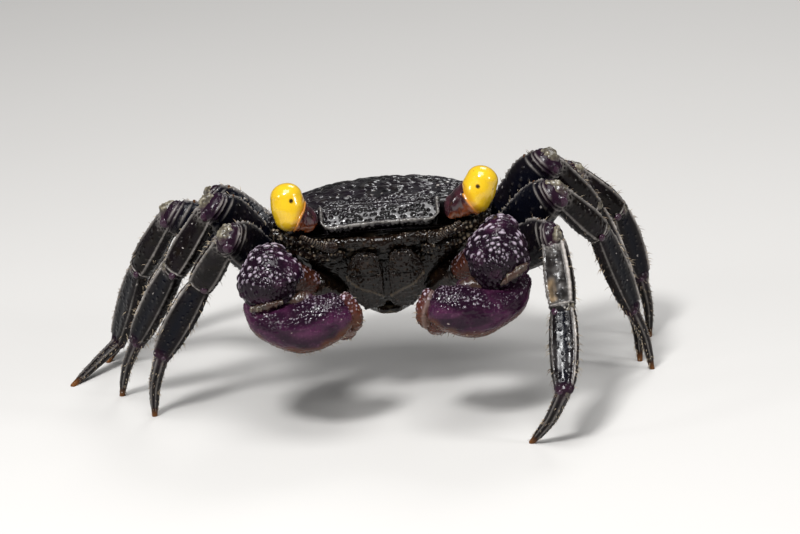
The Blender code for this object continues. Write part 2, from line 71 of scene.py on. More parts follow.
# Walking legs, as in the solids: lengths of merus, carpus, propodus and dactylus, roots and angles
LENGTHS = {
    2: (9.8, 5.1, 6.3, 5.2),
    3: (11.1, 5.7, 7.5, 5.4),
    4: (11.2, 5.9, 7.6, 5.6),
    5: (11.0, 4.9, 5.9, 5.0),
}
ROOTS = {2: (6.1, -0.9, -5.5), 3: (6.1, 1.2, -5.7), 4: (5.9, 3.1, -5.4), 5: (4.8, 4.9, -5.0)}
POSES = {
    ("right", 2): ((37, 50), (-52, -43), (-59, -8), -48),
    ("right", 3): ((45, 37), (-57, -12), (-56, -38), -50),
    ("right", 4): ((29, -1), (-54, -37), (-61, -51), 50),
    ("right", 5): ((21, -38), (-57, -21), (-54, 8), 40),
    ("left", 2): ((26, 48), (-55, 84), (-50, 94), -147),
    ("left", 3): ((41, 42), (-43, -40), (-65, -40), -38),
    ("left", 4): ((50, 30), (-49, -37), (-68, -25), -16),
    ("left", 5): ((30, -7), (-45, -21), (-71, -27), -41),
}

# Sweep of the plane that the broad faces of the lower segments lie in, where it isn't the leg's own
BROAD_PLANE = {("left", 2): 15}

# Half sizes over, under and through, at even steps along each length of a leg
MERUS = [
    (0.8, 0.75, 0.6),
    (1.0, 1.0, 0.75),
    (1.4, 1.3, 0.85),
    (1.7, 1.45, 0.85),
    (1.75, 1.4, 0.85),
    (1.2, 1.1, 0.85),
]
CARPUS = [(0.8, 0.75, 0.7), (1.0, 0.95, 0.8), (1.1, 1.05, 0.85), (0.95, 0.9, 0.75)]
PROPODUS = [(0.85, 0.8, 0.7), (1.1, 1.0, 0.7), (1.05, 0.95, 0.62), (0.7, 0.65, 0.5)]
DACTYLUS = [(0.5, 0.48, 0.45), (0.45, 0.42, 0.4), (0.34, 0.32, 0.3), (0.2, 0.2, 0.2)]
DACTYLUS_ARCH = 0.25

# How far the first joint of a leg or arm reaches out from its root, and into the body
COXA_REACH = 1.2
STUB_DEPTH = 1.6

# Fineness of the forms, in millimetres between points
FINE = 0.06
MEDIUM = 0.09
LEG_FINE = 0.07
TIP_FINE = 0.055
KNEE_FINE = 0.1
TAIL_FINE = 0.12
STUB_FINE = 0.13
ANTENNA_FINE = 0.03
ANTENNULE_FINE = 0.035


def mirrored(point, side):
    """A place given for the left side, on the side asked for."""
    x, y, z = point
    return Vector((side * x, y, z))


def spline(values, t):
    """Values at each t, from 0 to 1, on a smooth line through evenly spaced values."""
    values = np.array([tuple(v) for v in values], float)
    where = np.clip(t, 0.0, 1.0) * (len(values) - 1)
    i = np.minimum(where.astype(int), len(values) - 2)
    f = (where - i)[:, None]
    a, b, c, d = (values[np.clip(k, 0, len(values) - 1)] for k in (i - 1, i, i + 1, i + 2))
    return b + 0.5 * f * (c - a + f * (2 * a - 5 * b + 4 * c - d + f * (3 * (b - c) + d - a)))


def curve(table, x):
    """Values at each x on a smooth curve through a table of (x, value)."""
    xs, ys = (np.array(column, float) for column in zip(*table))
    slopes = np.gradient(ys, xs)
    x = np.clip(x, xs[0], xs[-1])
    i = np.clip(np.searchsorted(xs, x) - 1, 0, len(xs) - 2)
    h = xs[i + 1] - xs[i]
    f = (x - xs[i]) / h
    rise = ys[i + 1] - ys[i]
    bend = (1 - f) * (slopes[i] * h - rise) - f * (slopes[i + 1] * h - rise)
    return ys[i] + f * rise + f * (1 - f) * bend


# Primes that scatter whole numbers, and the shifts and factors that stir them further
CELL_PRIMES = (73856093, 19349663, 83492791)
SALT_PRIME = 2654435761
STIRS = ((13, 1274126177), (15, 668265263))
NEIGHBOURS = [(i, j, k) for i in (-1, 0, 1) for j in (-1, 0, 1) for k in (-1, 0, 1)]

# How far grains and pits stay from the sides of their cells, and the smallest grain against a mean one
GRAIN_MARGIN = 0.2
PIT_MARGIN = 0.15
LEAST_GRAIN = 0.65


def hashed(cell, salt):
    """A number from 0 to 1 for each cell of whole numbers, the same in every run."""
    value = np.full(cell.shape[:-1], salt * SALT_PRIME)
    for k, prime in enumerate(CELL_PRIMES):
        value = value ^ cell[..., k] * prime
    for shift, factor in STIRS:
        value = (value ^ (value >> shift)) * factor & 0xFFFFFFFF
    return (value >> 8 & 0xFFFF) / 0xFFFF


def scattered(points, spacing, margin, salt):
    """For each cell near the points: the cell, and how far its one random place is, in cells."""
    place = points / spacing
    home = np.floor(place).astype(np.int64)
    for step in NEIGHBOURS:
        cell = home + np.array(step)
        random = np.stack([hashed(cell, salt + k) for k in range(3)], -1)
        yield cell, np.linalg.norm(place - cell - margin - (1 - 2 * margin) * random, axis=-1)


def granules(points, spacing, fill, salt):
    """Height, 0 to 1, of round grains scattered through space, one to a cell of the given spacing.

    fill is the mean radius of a grain, as a share of the spacing.
    """
    best = np.zeros(points.shape[:-1])
    for cell, distance in scattered(points, spacing, GRAIN_MARGIN, salt):
        gap = distance / (fill * (LEAST_GRAIN + 2 * (1 - LEAST_GRAIN) * hashed(cell, salt + 3)))
        best = np.maximum(best, np.sqrt(np.clip(1 - gap * gap, 0, 1)))
    return best


def specks(points, spacing, fill, salt, low=0.2):
    """0 to 1 in sparse round specks, with nothing between them."""
    return step_up(granules(points, spacing, fill, salt), low, 0.6)


def network(points, spacing, width, salt):
    """Height, 0 to 1, of a net of ridges between pits of the given spacing."""
    first = np.full(points.shape[:-1], 9.0)
    second = first.copy()
    for _, distance in scattered(points, spacing, PIT_MARGIN, salt):
        second = np.minimum(second, np.maximum(first, distance))
        first = np.minimum(first, distance)
    return np.exp(-(((second - first) / width) ** 2))


def waves(points, size, salt=0):
    """Smooth noise from -1 to 1 with features of about the given size."""
    place = points / size
    home = np.floor(place).astype(np.int64)
    f = place - home
    f = f * f * (3 - 2 * f)
    total = np.zeros(points.shape[:-1])
    for i in (0, 1):
        for j in (0, 1):
            for k in (0, 1):
                share = (f[..., 0] if i else 1 - f[..., 0]) * (f[..., 1] if j else 1 - f[..., 1])
                share = share * (f[..., 2] if k else 1 - f[..., 2])
                total += share * hashed(home + np.array((i, j, k)), salt)
    return 2 * total - 1


def patches(points, size, salt, low, high):
    """0 to 1 in soft patches, where smooth noise passes from low to high."""
    return step_up(waves(points, size, salt), low, high)


def step_up(x, low, high):
    """0 below low, 1 above high, and smooth between."""
    f = np.clip((x - low) / (high - low), 0, 1)
    return f * f * (3 - 2 * f)


def line(x, centre, width):
    """A soft ridge of height 1 where x passes centre."""
    return np.exp(-(((x - centre) / width) ** 2))


class Surface:
    """Rings of points, (rows, columns, 3), with the place along and the angle round at each point."""

    def __init__(self, points, along, angle):
        rows, columns = points.shape[:2]
        self.points = points
        self.along = np.repeat(along[:, None], columns, 1)
        self.angle = np.repeat(angle[None], rows, 0)
        self.marks = {}

    def normals(self):
        lengthwise = np.gradient(self.points, axis=0)
        crosswise = np.roll(self.points, -1, 1) - np.roll(self.points, 1, 1)
        out = np.cross(crosswise, lengthwise)
        out /= np.maximum(np.linalg.norm(out, axis=-1, keepdims=True), 1e-12)
        middle = self.points.mean(axis=1, keepdims=True)
        if np.mean(np.sum(out * (self.points - middle), -1)) < 0:
            out = -out
        return out

    def turn_from(self, angle):
        """How far round each point is from an angle, in degrees from -180 to 180."""
        return (np.degrees(self.angle) - angle + 180) % 360 - 180

    def lift(self, height):
        """Raises every point along its normal."""
        self.points = self.points + self.normals() * height[..., None]

    def mark(self, name, values):
        """Keeps values from 0 to 1 that the material reads, the larger where two are kept under a name."""
        values = np.clip(np.broadcast_to(values, self.along.shape), 0, 1)
        self.marks[name] = np.maximum(self.marks.get(name, 0.0), values)

    def strew(self, height, spacing, fill, salt, share=1.0):
        """Raises round grains, marks them and gives them back."""
        grain = granules(self.points, spacing, fill, salt) * share
        self.lift(height * grain)
        self.mark("grain", grain)
        return grain

    def ridge(self, angle, width, height, low, high, grains=0.0):
        """Raises a keel along the part at an angle round it, in degrees, between two places along."""
        reach = step_up(self.along, low, low + 0.08) * (1 - step_up(self.along, high - 0.08, high))
        keel = line(self.turn_from(angle), 0, width) * reach
        if grains:
            keel = keel * (1 - grains + grains * granules(self.points, 0.26, 0.6, 5))
        self.lift(height * keel)
        return keel

    def turned(self, matrix):
        turn = np.array(matrix.to_3x3())
        self.points = self.points @ turn.T + np.array(matrix.translation)
        return self


def even_form(points):
    """A Surface of rings given as they are, evenly along it."""
    rows, columns = points.shape[:2]
    return Surface(points, np.linspace(0, 1, rows), np.linspace(0, 2 * math.pi, columns))


def evenly_round(columns):
    """The angles of points along one ring."""
    return np.linspace(0, 2 * math.pi, columns, endpoint=False)


FRAME_STEPS = 200


def vectors_along(path, up, hand, t):
    """Unit vectors along, across and over a path at each t. hand turns the one across round."""
    fine = np.linspace(0, 1, FRAME_STEPS)
    along = np.gradient(spline(path, fine), axis=0)
    along /= np.linalg.norm(along, axis=1, keepdims=True)
    across = np.cross(along, np.array(up))
    across /= np.linalg.norm(across, axis=1, keepdims=True)
    over = np.cross(across, along)
    vectors = (along, across * hand, over)
    return [np.stack([np.interp(t, fine, v[:, k]) for k in range(3)], -1) for v in vectors]


def rounded_cap(place, centre, size, along, across, over, reach, order, length):
    """Rings that close an end, moved out from its last ring and shrunk."""
    out = reach * 0.5 * (size[0] + size[1]) * np.sin(order)
    return (
        place + out / length,
        centre + along * out[:, None],
        size * np.cos(order)[:, None],
        *(np.repeat(v[None], len(order), 0) for v in (along, across, over)),
    )


def tube(path, sizes, up, spacing, power=2.0, ends=(0.9, 0.9), hand=1):
    """A closed form along a smooth path, with half sizes up, down and sideways, as in the solids."""
    path = [Vector(p) for p in path]
    length = sum((b - a).length for a, b in zip(path, path[1:]))
    largest = max(max(s) for s in sizes)
    columns = max(int(2 * math.pi * largest / spacing) // 4 * 4, 16)
    turn = max(int(1.2 * largest / spacing), 5)
    t = np.linspace(0, 1, max(int(length / spacing), 8))
    rings = (t, spline(path, t), spline(sizes, t), *vectors_along(path, up, hand, t))
    order = 0.5 * math.pi * (np.arange(turn, 0, -1) / (turn + 0.35))
    start = rounded_cap(*(values[0] for values in rings), -ends[0], order, length)
    end = rounded_cap(*(values[-1] for values in rings), ends[1], order[::-1], length)
    place, centres, size, _, across, over = (np.concatenate(parts) for parts in zip(start, rings, end))
    angle = evenly_round(columns)
    c, s = np.cos(angle), np.sin(angle)
    sideways = np.sign(c) * np.abs(c) ** (2 / power) * size[:, 2:3]
    upward = np.sign(s) * np.abs(s) ** (2 / power) * np.where(s > 0, size[:, 0:1], size[:, 1:2])
    points = centres[:, None] + sideways[..., None] * across[:, None] + upward[..., None] * over[:, None]
    return Surface(points, place, angle)


def ball(centre, radii, axes, spacing):
    """A closed egg about a centre, with a half size along each of three axes."""
    rows = max(int(math.pi * max(radii) / spacing), 8)
    columns = max(int(2 * math.pi * max(radii) / spacing) // 4 * 4, 12)
    down = np.linspace(0, math.pi, rows + 2)[1:-1]
    angle = evenly_round(columns)
    a, b, c = (radius * np.array(Vector(axis).normalized()) for radius, axis in zip(radii, axes))
    points = np.array(centre) - np.cos(down)[:, None, None] * a
    points = points + (np.sin(down)[:, None] * np.cos(angle))[..., None] * b
    points = points + (np.sin(down)[:, None] * np.sin(angle))[..., None] * c
    return Surface(points, down / math.pi, angle)


def to_object(name, surfaces, material, nodes):
    """One object from surfaces, which stands for the named nodes."""
    points, faces, marks, start = [], [], {}, 0
    names = sorted({key for surface in surfaces for key in surface.marks})
    for surface in surfaces:
        rows, columns = surface.along.shape
        index = start + np.arange(rows * columns).reshape(rows, columns)
        following = np.roll(index, -1, 1)
        quads = np.stack([index[:-1], following[:-1], following[1:], index[1:]], -1).reshape(-1, 4)
        first, last = start + rows * columns, start + rows * columns + 1
        faces.append(quads)
        faces.append(np.stack([following[0], index[0], np.full(columns, first)], -1))
        faces.append(np.stack([index[-1], following[-1], np.full(columns, last)], -1))
        points.append(surface.points.reshape(-1, 3))
        points.append(surface.points[[0, -1]].mean(1))
        for key in names:
            values = surface.marks.get(key, np.zeros((rows, columns)))
            ends = (values[0].mean(), values[-1].mean())
            marks.setdefault(key, []).append(np.concatenate([values.reshape(-1), ends]))
        start = last + 1
    mesh = filled_mesh(name, np.concatenate(points) * MM, faces)
    for key in names:
        mesh.attributes.new(key, "FLOAT", "POINT").data.foreach_set("value", np.concatenate(marks[key]))
    made = on_crab(name, mesh, material)
    if nodes:
        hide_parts(*nodes)


def on_crab(name, mesh, material):
    """An object of the mesh that rides on the crab's one body."""
    mesh.materials.append(material)
    made = bpy.data.objects.new(name, mesh)
    bpy.context.scene.collection.objects.link(made)
    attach(made, "root")
    return made


def filled_mesh(name, points, groups):
    """A mesh from points and groups of faces with the same number of corners, all facing out."""
    mesh = bpy.data.meshes.new(name)
    corners = np.concatenate([group.reshape(-1) for group in groups])
    totals = np.concatenate([np.full(len(group), group.shape[1]) for group in groups])
    starts = np.concatenate([[0], np.cumsum(totals)[:-1]])
    mesh.vertices.add(len(points))
    mesh.vertices.foreach_set("co", points.reshape(-1))
    mesh.loops.add(len(corners))
    mesh.loops.foreach_set("vertex_index", corners.astype(np.int32))
    mesh.polygons.add(len(totals))
    mesh.polygons.foreach_set("loop_start", starts.astype(np.int32))
    mesh.polygons.foreach_set("use_smooth", np.ones(len(totals), bool))
    mesh.update(calc_edges=True)
    mesh.validate()
    face_outwards(mesh)
    return mesh


def face_outwards(mesh):
    """Turns the faces round where the mesh as a whole is inside out."""
    mesh.calc_loop_triangles()
    corners = np.empty(len(mesh.loop_triangles) * 3, np.int32)
    mesh.loop_triangles.foreach_get("vertices", corners)
    points = np.empty(len(mesh.vertices) * 3, np.float32)
    mesh.vertices.foreach_get("co", points)
    triangles = points.reshape(-1, 3).astype(float)[corners.reshape(-1, 3)]
    if np.linalg.det(triangles).sum() < 0:
        mesh.flip_normals()


NOISE_STEPS = 3.0


class Finish:
    """Builds one procedural material from the crab's marks and from noise. Each tint goes over the last."""

    def __init__(self, name, colour, roughness, coat=0.0, coat_roughness=0.1, specular=0.5):
        self.made = bpy.data.materials.new(name)
        self.made.use_nodes = True
        self.nodes = self.made.node_tree.nodes
        self.links = self.made.node_tree.links
        self.shader = self.nodes["Principled BSDF"]
        self.shader.inputs["Base Color"].default_value = (*colour, 1)
        self.shader.inputs["Roughness"].default_value = roughness
        self.shader.inputs["Coat Weight"].default_value = coat
        self.shader.inputs["Coat Roughness"].default_value = coat_roughness
        self.shader.inputs["Specular IOR Level"].default_value = specular
        self.place = self.node("ShaderNodeTexCoord").outputs["Object"]
        self.plain = (*colour, 1)
        self.colour = None

    def node(self, kind, **values):
        made = self.nodes.new(kind)
        for key, value in values.items():
            setattr(made, key, value)
        return made

    def texture(self, kind, size):
        """A texture with features of the given size in millimetres."""
        made = self.node(kind)
        made.inputs["Scale"].default_value = 1 / (size * MM)
        self.links.new(self.place, made.inputs["Vector"])
        return made

    def noise(self, size):
        """Noise from 0 to 1, with a few steps of finer noise in it."""
        made = self.texture("ShaderNodeTexNoise", size)
        made.inputs["Detail"].default_value = NOISE_STEPS
        return made.outputs[0]

    def read(self, mark):
        return self.node("ShaderNodeAttribute", attribute_name=mark).outputs["Fac"]

    def between(self, value, low, high, start, end):
        """Maps low..high of a value to start..end, and stays there past either end."""
        made = self.node("ShaderNodeMapRange")
        self.links.new(value, made.inputs["Value"])
        for key, number in zip(("From Min", "From Max", "To Min", "To Max"), (low, high, start, end)):
            made.inputs[key].default_value = number
        return made.outputs[0]

    def tint(self, share, colour):
        """Mixes a colour over the one so far, by the share."""
        made = self.node("ShaderNodeMix", data_type="RGBA")
        self.links.new(share, made.inputs[0])
        if self.colour:
            self.links.new(self.colour, made.inputs[6])
        else:
            made.inputs[6].default_value = self.plain
        made.inputs[7].default_value = (*colour, 1)
        self.colour = made.outputs[2]
        self.links.new(self.colour, self.shader.inputs["Base Color"])

    def cloud(self, size, low, high, colour, most=1.0):
        """Tints where noise of the given size passes from low to high."""
        self.tint(self.between(self.noise(size), low, high, 0, most), colour)

    def stain(self, mark, colour):
        """Tints by a mark."""
        self.tint(self.read(mark), colour)

    def tint_grain_tops(self, low, most, colour):
        """Tints the tops of the grains, above a height."""
        self.tint(self.between(self.read("grain"), low, 1.0, 0, most), colour)

    def gloss(self, size, least, most):
        """Varies the roughness with noise of the given size."""
        value = self.between(self.noise(size), 0.3, 0.7, least, most)
        self.links.new(value, self.shader.inputs["Roughness"])

    def bump(self, value, depth):
        """Gives relief of the given depth in millimetres for a value from 0 to 1."""
        made = self.node("ShaderNodeBump")
        made.inputs["Strength"].default_value = 1.0
        made.inputs["Distance"].default_value = depth * MM
        self.links.new(value, made.inputs["Height"])
        self.links.new(made.outputs[0], self.shader.inputs["Normal"])

    def grit(self, size, depth):
        """Gives relief of noise of the given size."""
        self.bump(self.noise(size), depth)


def shell_finish():
    """Near-black carapace with a violet tint, wet gloss and paler grain tops; the front plate's pits are
    painted darker as shade.
    """
    finish = Finish("carapace_shell", (0.0030, 0.0024, 0.0028), 0.18, specular=0.45)
    finish.cloud(2.5, 0.4, 0.7, (0.0070, 0.0038, 0.0075))
    finish.cloud(0.5, 0.52, 0.75, (0.011, 0.008, 0.005), 0.6)
    # Paler grain tops; on the front plate the same tint lightens the face between the pits as a painted
    # sheen
    finish.tint_grain_tops(0.7, 0.45, (0.070, 0.066, 0.064))
    # Painted shade: the front plate's pits made darker
    finish.stain("dark", (0.0010, 0.0008, 0.0008))
    finish.stain("pale", (0.40, 0.37, 0.34))
    finish.gloss(0.4, 0.1, 0.24)
    finish.grit(0.25, 0.012)
    return finish.made


def leg_finish():
    """Black leg shell with brown and violet tints, highlights painted pale along its ridges, and a purple
    end.
    """
    finish = Finish("leg_shell", (0.0030, 0.0022, 0.0021), 0.2, specular=0.12)
    finish.cloud(1.6, 0.42, 0.68, (0.0058, 0.0036, 0.0052))
    finish.cloud(0.6, 0.5, 0.72, (0.0085, 0.0060, 0.0040), 0.7)
    finish.stain("blue", (0.0015, 0.0019, 0.0045))
    finish.stain("grey", (0.060, 0.056, 0.054))
    finish.stain("tan", (0.24, 0.165, 0.09))
    finish.stain("purple", (0.026, 0.008, 0.020))
    finish.stain("amber", (0.12, 0.045, 0.012))
    finish.tint_grain_tops(0.6, 0.4, (0.05, 0.044, 0.038))
    # On the legs, pale is painted highlight: glints along the ridges and rims and on sparse specks
    finish.stain("pale", (0.62, 0.57, 0.53))
    finish.gloss(0.4, 0.12, 0.28)
    finish.grit(0.3, 0.012)
    return finish.made


def claw_finish():
    """Plum-purple claw: near black where grains crowd, mottled below, red-brown along the lower edge, with
    highlights painted pale on its grain tops.
    """
    finish = Finish("claw_shell", (0.032, 0.0072, 0.025), 0.18, specular=0.2)
    finish.cloud(0.9, 0.45, 0.68, (0.062, 0.016, 0.044), 0.8)
    finish.cloud(0.25, 0.56, 0.72, (0.13, 0.055, 0.095), 0.4)
    finish.stain("dark", (0.0050, 0.0017, 0.0050))
    finish.stain("rust", (0.070, 0.020, 0.0075))
    # Painted highlights: grain tops tinted pale lilac, most on grains that face up
    finish.tint_grain_tops(0.5, 0.75, (0.50, 0.42, 0.50))
    finish.stain("pale", (0.40, 0.33, 0.30))
    finish.gloss(0.3, 0.1, 0.22)
    finish.grit(0.22, 0.014)
    return finish.made


def underside_finish():
    """Brown-black underside, with dull tan patches between its grains and highlights painted pale on some
    grains.
    """
    finish = Finish("underside_shell", (0.0045, 0.0026, 0.0018), 0.18, specular=0.3)
    finish.cloud(1.1, 0.45, 0.7, (0.011, 0.0052, 0.0034))
    finish.cloud(0.35, 0.56, 0.72, (0.034, 0.018, 0.008), 0.6)
    finish.stain("dark", (0.0014, 0.0010, 0.0010))
    finish.tint_grain_tops(0.72, 0.7, (0.24, 0.19, 0.14))
    # Pale: the tan patches, and painted highlights on the grain tops of the ridges below the eyes and on
    # sparse specks
    finish.stain("pale", (0.28, 0.22, 0.15))
    finish.gloss(0.3, 0.08, 0.22)
    finish.grit(0.22, 0.014)
    return finish.made


def stalk_finish():
    """Glossy purple-brown stalk, cream-orange against the eye and orange-brown along its lower edge."""
    finish = Finish("eyestalk_shell", (0.014, 0.0035, 0.0055), 0.14, coat=0.5, coat_roughness=0.04)
    finish.cloud(0.5, 0.42, 0.7, (0.055, 0.013, 0.020))
    finish.stain("rust", (0.23, 0.050, 0.0075))
    finish.stain("amber", (0.62, 0.25, 0.035))
    finish.gloss(0.3, 0.08, 0.25)
    finish.grit(0.22, 0.02)
    return finish.made


def eye_finish():
    """Bright yellow eye under a clear glossy cornea of fine facets."""
    finish = Finish("eye_cornea", (0.60, 0.385, 0.011), 0.22, coat=0.8, coat_roughness=0.03, specular=0.3)
    finish.cloud(0.8, 0.4, 0.75, (0.58, 0.33, 0.006), 0.6)
    finish.cloud(0.12, 0.5, 0.8, (0.44, 0.28, 0.010), 0.35)
    finish.stain("amber", (0.40, 0.18, 0.006))
    finish.stain("rust", (0.22, 0.05, 0.005))
    # Pale is a highlight painted along the cornea's clear rim
    finish.stain("pale", (0.66, 0.62, 0.47))
    finish.stain("dark", (0.022, 0.010, 0.002))
    finish.gloss(0.5, 0.16, 0.3)
    finish.bump(finish.texture("ShaderNodeTexVoronoi", 0.05).outputs["Distance"], 0.0025)
    return finish.made


def membrane_finish():
    """Soft skin between the hard segments: grey, cream and dull purple."""
    finish = Finish("joint_membrane", (0.030, 0.024, 0.019), 0.3, 0.2, 0.15, 0.3)
    finish.cloud(0.5, 0.45, 0.65, (0.060, 0.052, 0.038))
    finish.cloud(0.8, 0.55, 0.7, (0.016, 0.008, 0.013))
    finish.stain("brown", (0.040, 0.020, 0.014))
    finish.stain("purple", (0.026, 0.009, 0.020))
    finish.stain("pale", (0.22, 0.195, 0.14))
    finish.gloss(0.3, 0.16, 0.4)
    finish.grit(0.2, 0.03)
    return finish.made


def seta_finish():
    """Stiff bristles, straw-coloured, some of them brown."""
    finish = Finish("setae", (0.40, 0.32, 0.22), 0.35)
    finish.cloud(1.2, 0.48, 0.56, (0.10, 0.060, 0.035), 0.8)
    finish.gloss(0.5, 0.25, 0.5)
    finish.grit(0.05, 0.002)
    return finish.made


def heading(side, pitch, sweep):
    """The way a segment points, from its pitch and its sweep forwards, in degrees."""
    pitch, sweep = math.radians(pitch), math.radians(sweep)
    level = math.cos(pitch)
    return Vector((side * level * math.cos(sweep), -level * math.sin(sweep), math.sin(pitch)))


def leg_joints(name, pair):
    """The ends of a leg's four segments and the plane that each bends in. The last ends on the floor."""
    side = SIDES[name]
    *angled, last_sweep = POSES[(name, pair)]
    joints = [BODY @ mirrored(ROOTS[pair], side)]
    for (pitch, sweep), length in zip(angled, LENGTHS[pair]):
        joints.append(joints[-1] + length * heading(side, pitch, sweep))
    reach = LENGTHS[pair][3]
    drop = math.degrees(math.asin(joints[-1].z / reach))
    joints.append(joints[-1] + reach * heading(side, -drop, last_sweep))
    sweeps = [angled[0][1]] + [BROAD_PLANE.get((name, pair), angled[2][1])] * 3
    planes = [heading(side, 0, sweep).cross(UP) for sweep in sweeps]
    return joints, planes


ROOM_TINT = (0.95, 0.96, 1.0, 1)
ROOM_STRENGTH = 0.12
LIGHTS = [  # name, the way it lies from the crab, power in watts and width
    ("key", (-0.3, -0.75, 1.0), 0.66, 42.0),
    ("sky", (0.0, -0.3, 1.0), 0.5, 140.0),
    ("back", (0.3, 0.8, 0.9), 0.16, 80.0),
    ("left_fill", (-1.0, -0.5, 0.45), 0.11, 50.0),
    ("right_fill", (1.0, -0.5, 0.5), 0.15, 50.0),
]
LIGHT_REACH = 250.0


def scene_light():
    """A pale room, a soft key above the camera, a wide one overhead, one behind and a fill on each side."""
    world = bpy.data.worlds.new("room")
    bpy.context.scene.world = world
    world.use_nodes = True
    background = world.node_tree.nodes["Background"]
    background.inputs[0].default_value = ROOM_TINT
    background.inputs[1].default_value = ROOM_STRENGTH
    bpy.context.scene.view_settings.view_transform = "Standard"
    for name, direction, power, size in LIGHTS:
        light = bpy.data.lights.new(name, "AREA")
        light.energy = power
        light.size = size * MM
        made = bpy.data.objects.new(name, light)
        bpy.context.scene.collection.objects.link(made)
        way = Vector(direction).normalized()
        made.location = (PIVOT_PLACE + way * LIGHT_REACH) * MM
        made.rotation_euler = way.to_track_quat("Z", "Y").to_euler()


FLOOR_SIZE = 4000.0


def scene_floor():
    """A plain pale floor, far wider than the view."""
    bpy.ops.mesh.primitive_plane_add(size=FLOOR_SIZE * MM, location=(0, 0, 0))
    floor = bpy.context.object
    floor.name = "floor"
    finish = Finish("pale_floor", (0.52, 0.51, 0.495), 0.8, specular=0.2)
    finish.cloud(30, 0.3, 0.7, (0.50, 0.49, 0.475), 0.3)
    floor.data.materials.append(finish.made)


# Camera: how far it looks down, the small turn about its own axis, its distance from the crab, how far
# aside and below the crab's pivot it aims, and the scale and width of its picture
CAMERA_DROP = math.radians(18)
CAMERA_ROLL = math.radians(3)
CAMERA_REACH = 260.0
CAMERA_ASIDE = 1.36
CAMERA_BELOW = 2.64
PIXELS_PER_RADIAN = 3640.0
FRAME_WIDTH = 800
SENSOR = 36.0
CAMERA_NEAR = 10.0


def scene_camera():
    forward = Vector((0, math.cos(CAMERA_DROP), -math.sin(CAMERA_DROP)))
    level = Vector((1, 0, 0))
    rise = Vector((0, math.sin(CAMERA_DROP), math.cos(CAMERA_DROP)))
    right = math.cos(CAMERA_ROLL) * level - math.sin(CAMERA_ROLL) * rise
    up = math.cos(CAMERA_ROLL) * rise + math.sin(CAMERA_ROLL) * level
    place = PIVOT_PLACE + CAMERA_ASIDE * right - CAMERA_BELOW * up - CAMERA_REACH * forward
    data = bpy.data.cameras.new("camera")
    data.sensor_width = SENSOR
    data.lens = PIXELS_PER_RADIAN / FRAME_WIDTH * SENSOR
    data.clip_start = CAMERA_NEAR * MM
    camera = bpy.data.objects.new("camera", data)
    bpy.context.scene.collection.objects.link(camera)
    turn = Matrix((right, up, -forward)).transposed().to_4x4()
    turn.translation = place * MM
    camera.matrix_world = turn
    bpy.context.scene.camera = camera


# Carapace, as in the solids: half widths at the rim along y, heights of the crown and of the rim
RIM = [(-6.1, 7.45), (-5.5, 7.75), (-4.8, 7.95), (-3.4, 7.95), (-1.5, 8.05), (1.0, 7.95)]
RIM += [(3.5, 7.55), (5.2, 6.8), (6.4, 5.75), (7.0, 4.6), (7.2, 3.8)]
CROWN = [(-6.1, 0.95), (-5.0, 1.3), (-2.5, 1.75), (0.5, 1.85), (3.5, 1.55), (5.5, 1.0), (7.2, 0.25)]
RIM_HEIGHT = [(-6.1, 0.45), (-4.5, 0.2), (0.0, 0.0), (7.2, -0.2)]
CROWN_POWER = 2.6
SHELL_FLOOR = -1.0
SHELL_WALL = [(0.05, -0.35), (0.12, -0.7), (0.3, SHELL_FLOOR), (2.5, SHELL_FLOOR)]
TEETH = [((7.75, -6.5, 0.05), (7.05, -5.4, 0.05)), ((8.05, -5.0, 0.0), (7.3, -4.1, 0.0))]
TOOTH_SIZES = [(0.45, 0.5, 0.75), (0.3, 0.35, 0.45), (0.12, 0.14, 0.14)]

# Fineness of the back, and the stretch of its coarse grains, which are wider than long
BACK_FINE = 0.07
BACK_COLUMNS = 230
WIDE_GRAIN = np.array((0.55, 1.0, 1.0))


def region_relief(x, y):
    """The carapace's grooves, lobes and slanting side ridges, in millimetres over its plain back."""
    x = np.abs(x)
    cervical = line(y, 0.4 + 0.10 * x * x, 0.45) * (1 - step_up(x, 2.8, 3.8))
    beside_heart = line(x, 1.9 + 0.12 * (y - 2.4) ** 2, 0.32)
    beside_heart *= step_up(y, 0.2, 1.2) * (1 - step_up(y, 4.6, 5.6))
    middle = line(x, 0.0, 0.22) * (1 - step_up(y, -4.2, -3.0))
    outer = line(x, 4.1 + 0.25 * (y + 1.0), 0.4) * step_up(y, -4.0, -3.0) * (1 - step_up(y, -0.5, 0.8))
    lobes = line(y, -5.35, 0.5) * (line(x, 1.15, 0.75) + line(x, 3.05, 0.75))
    slant = np.clip(np.sin(2 * np.pi * (y + 0.55 * x) / 1.3), 0, 1) ** 5
    slant = slant * step_up(x, 4.9, 5.6) * step_up(y, -3.6, -2.6) * (1 - step_up(y, 4.2, 5.4))
    grooves = 0.15 * cervical + 0.10 * beside_heart + 0.12 * middle + 0.10 * outer
    return 0.16 * lobes + 0.07 * slant - grooves


def back_form():
    """The back of the carapace, from behind the front plate, with its walls and its flat lower side."""
    y = np.arange(RIM[0][0], RIM[-1][0], BACK_FINE)
    half, crown, rim = curve(RIM, y), curve(CROWN, y), curve(RIM_HEIGHT, y)
    share = np.cos(np.linspace(math.pi, 0, BACK_COLUMNS))
    x = share * half[:, None]
    z = rim[:, None] + (crown - rim)[:, None] * (1 - np.abs(share) ** CROWN_POWER)
    top = np.stack([x, np.repeat(y[:, None], len(share), 1), z], -1)
    top[..., 2] += region_relief(x, top[..., 1])
    rings = [top]
    for side, walls in ((1, SHELL_WALL), (-1, SHELL_WALL[::-1])):
        for inward, height in walls:
            rings.append(np.stack([side * (half - inward), y, np.full(len(y), height)], -1)[:, None])
    form = even_form(np.concatenate(rings, 1))
    back_grains(form)
    return form


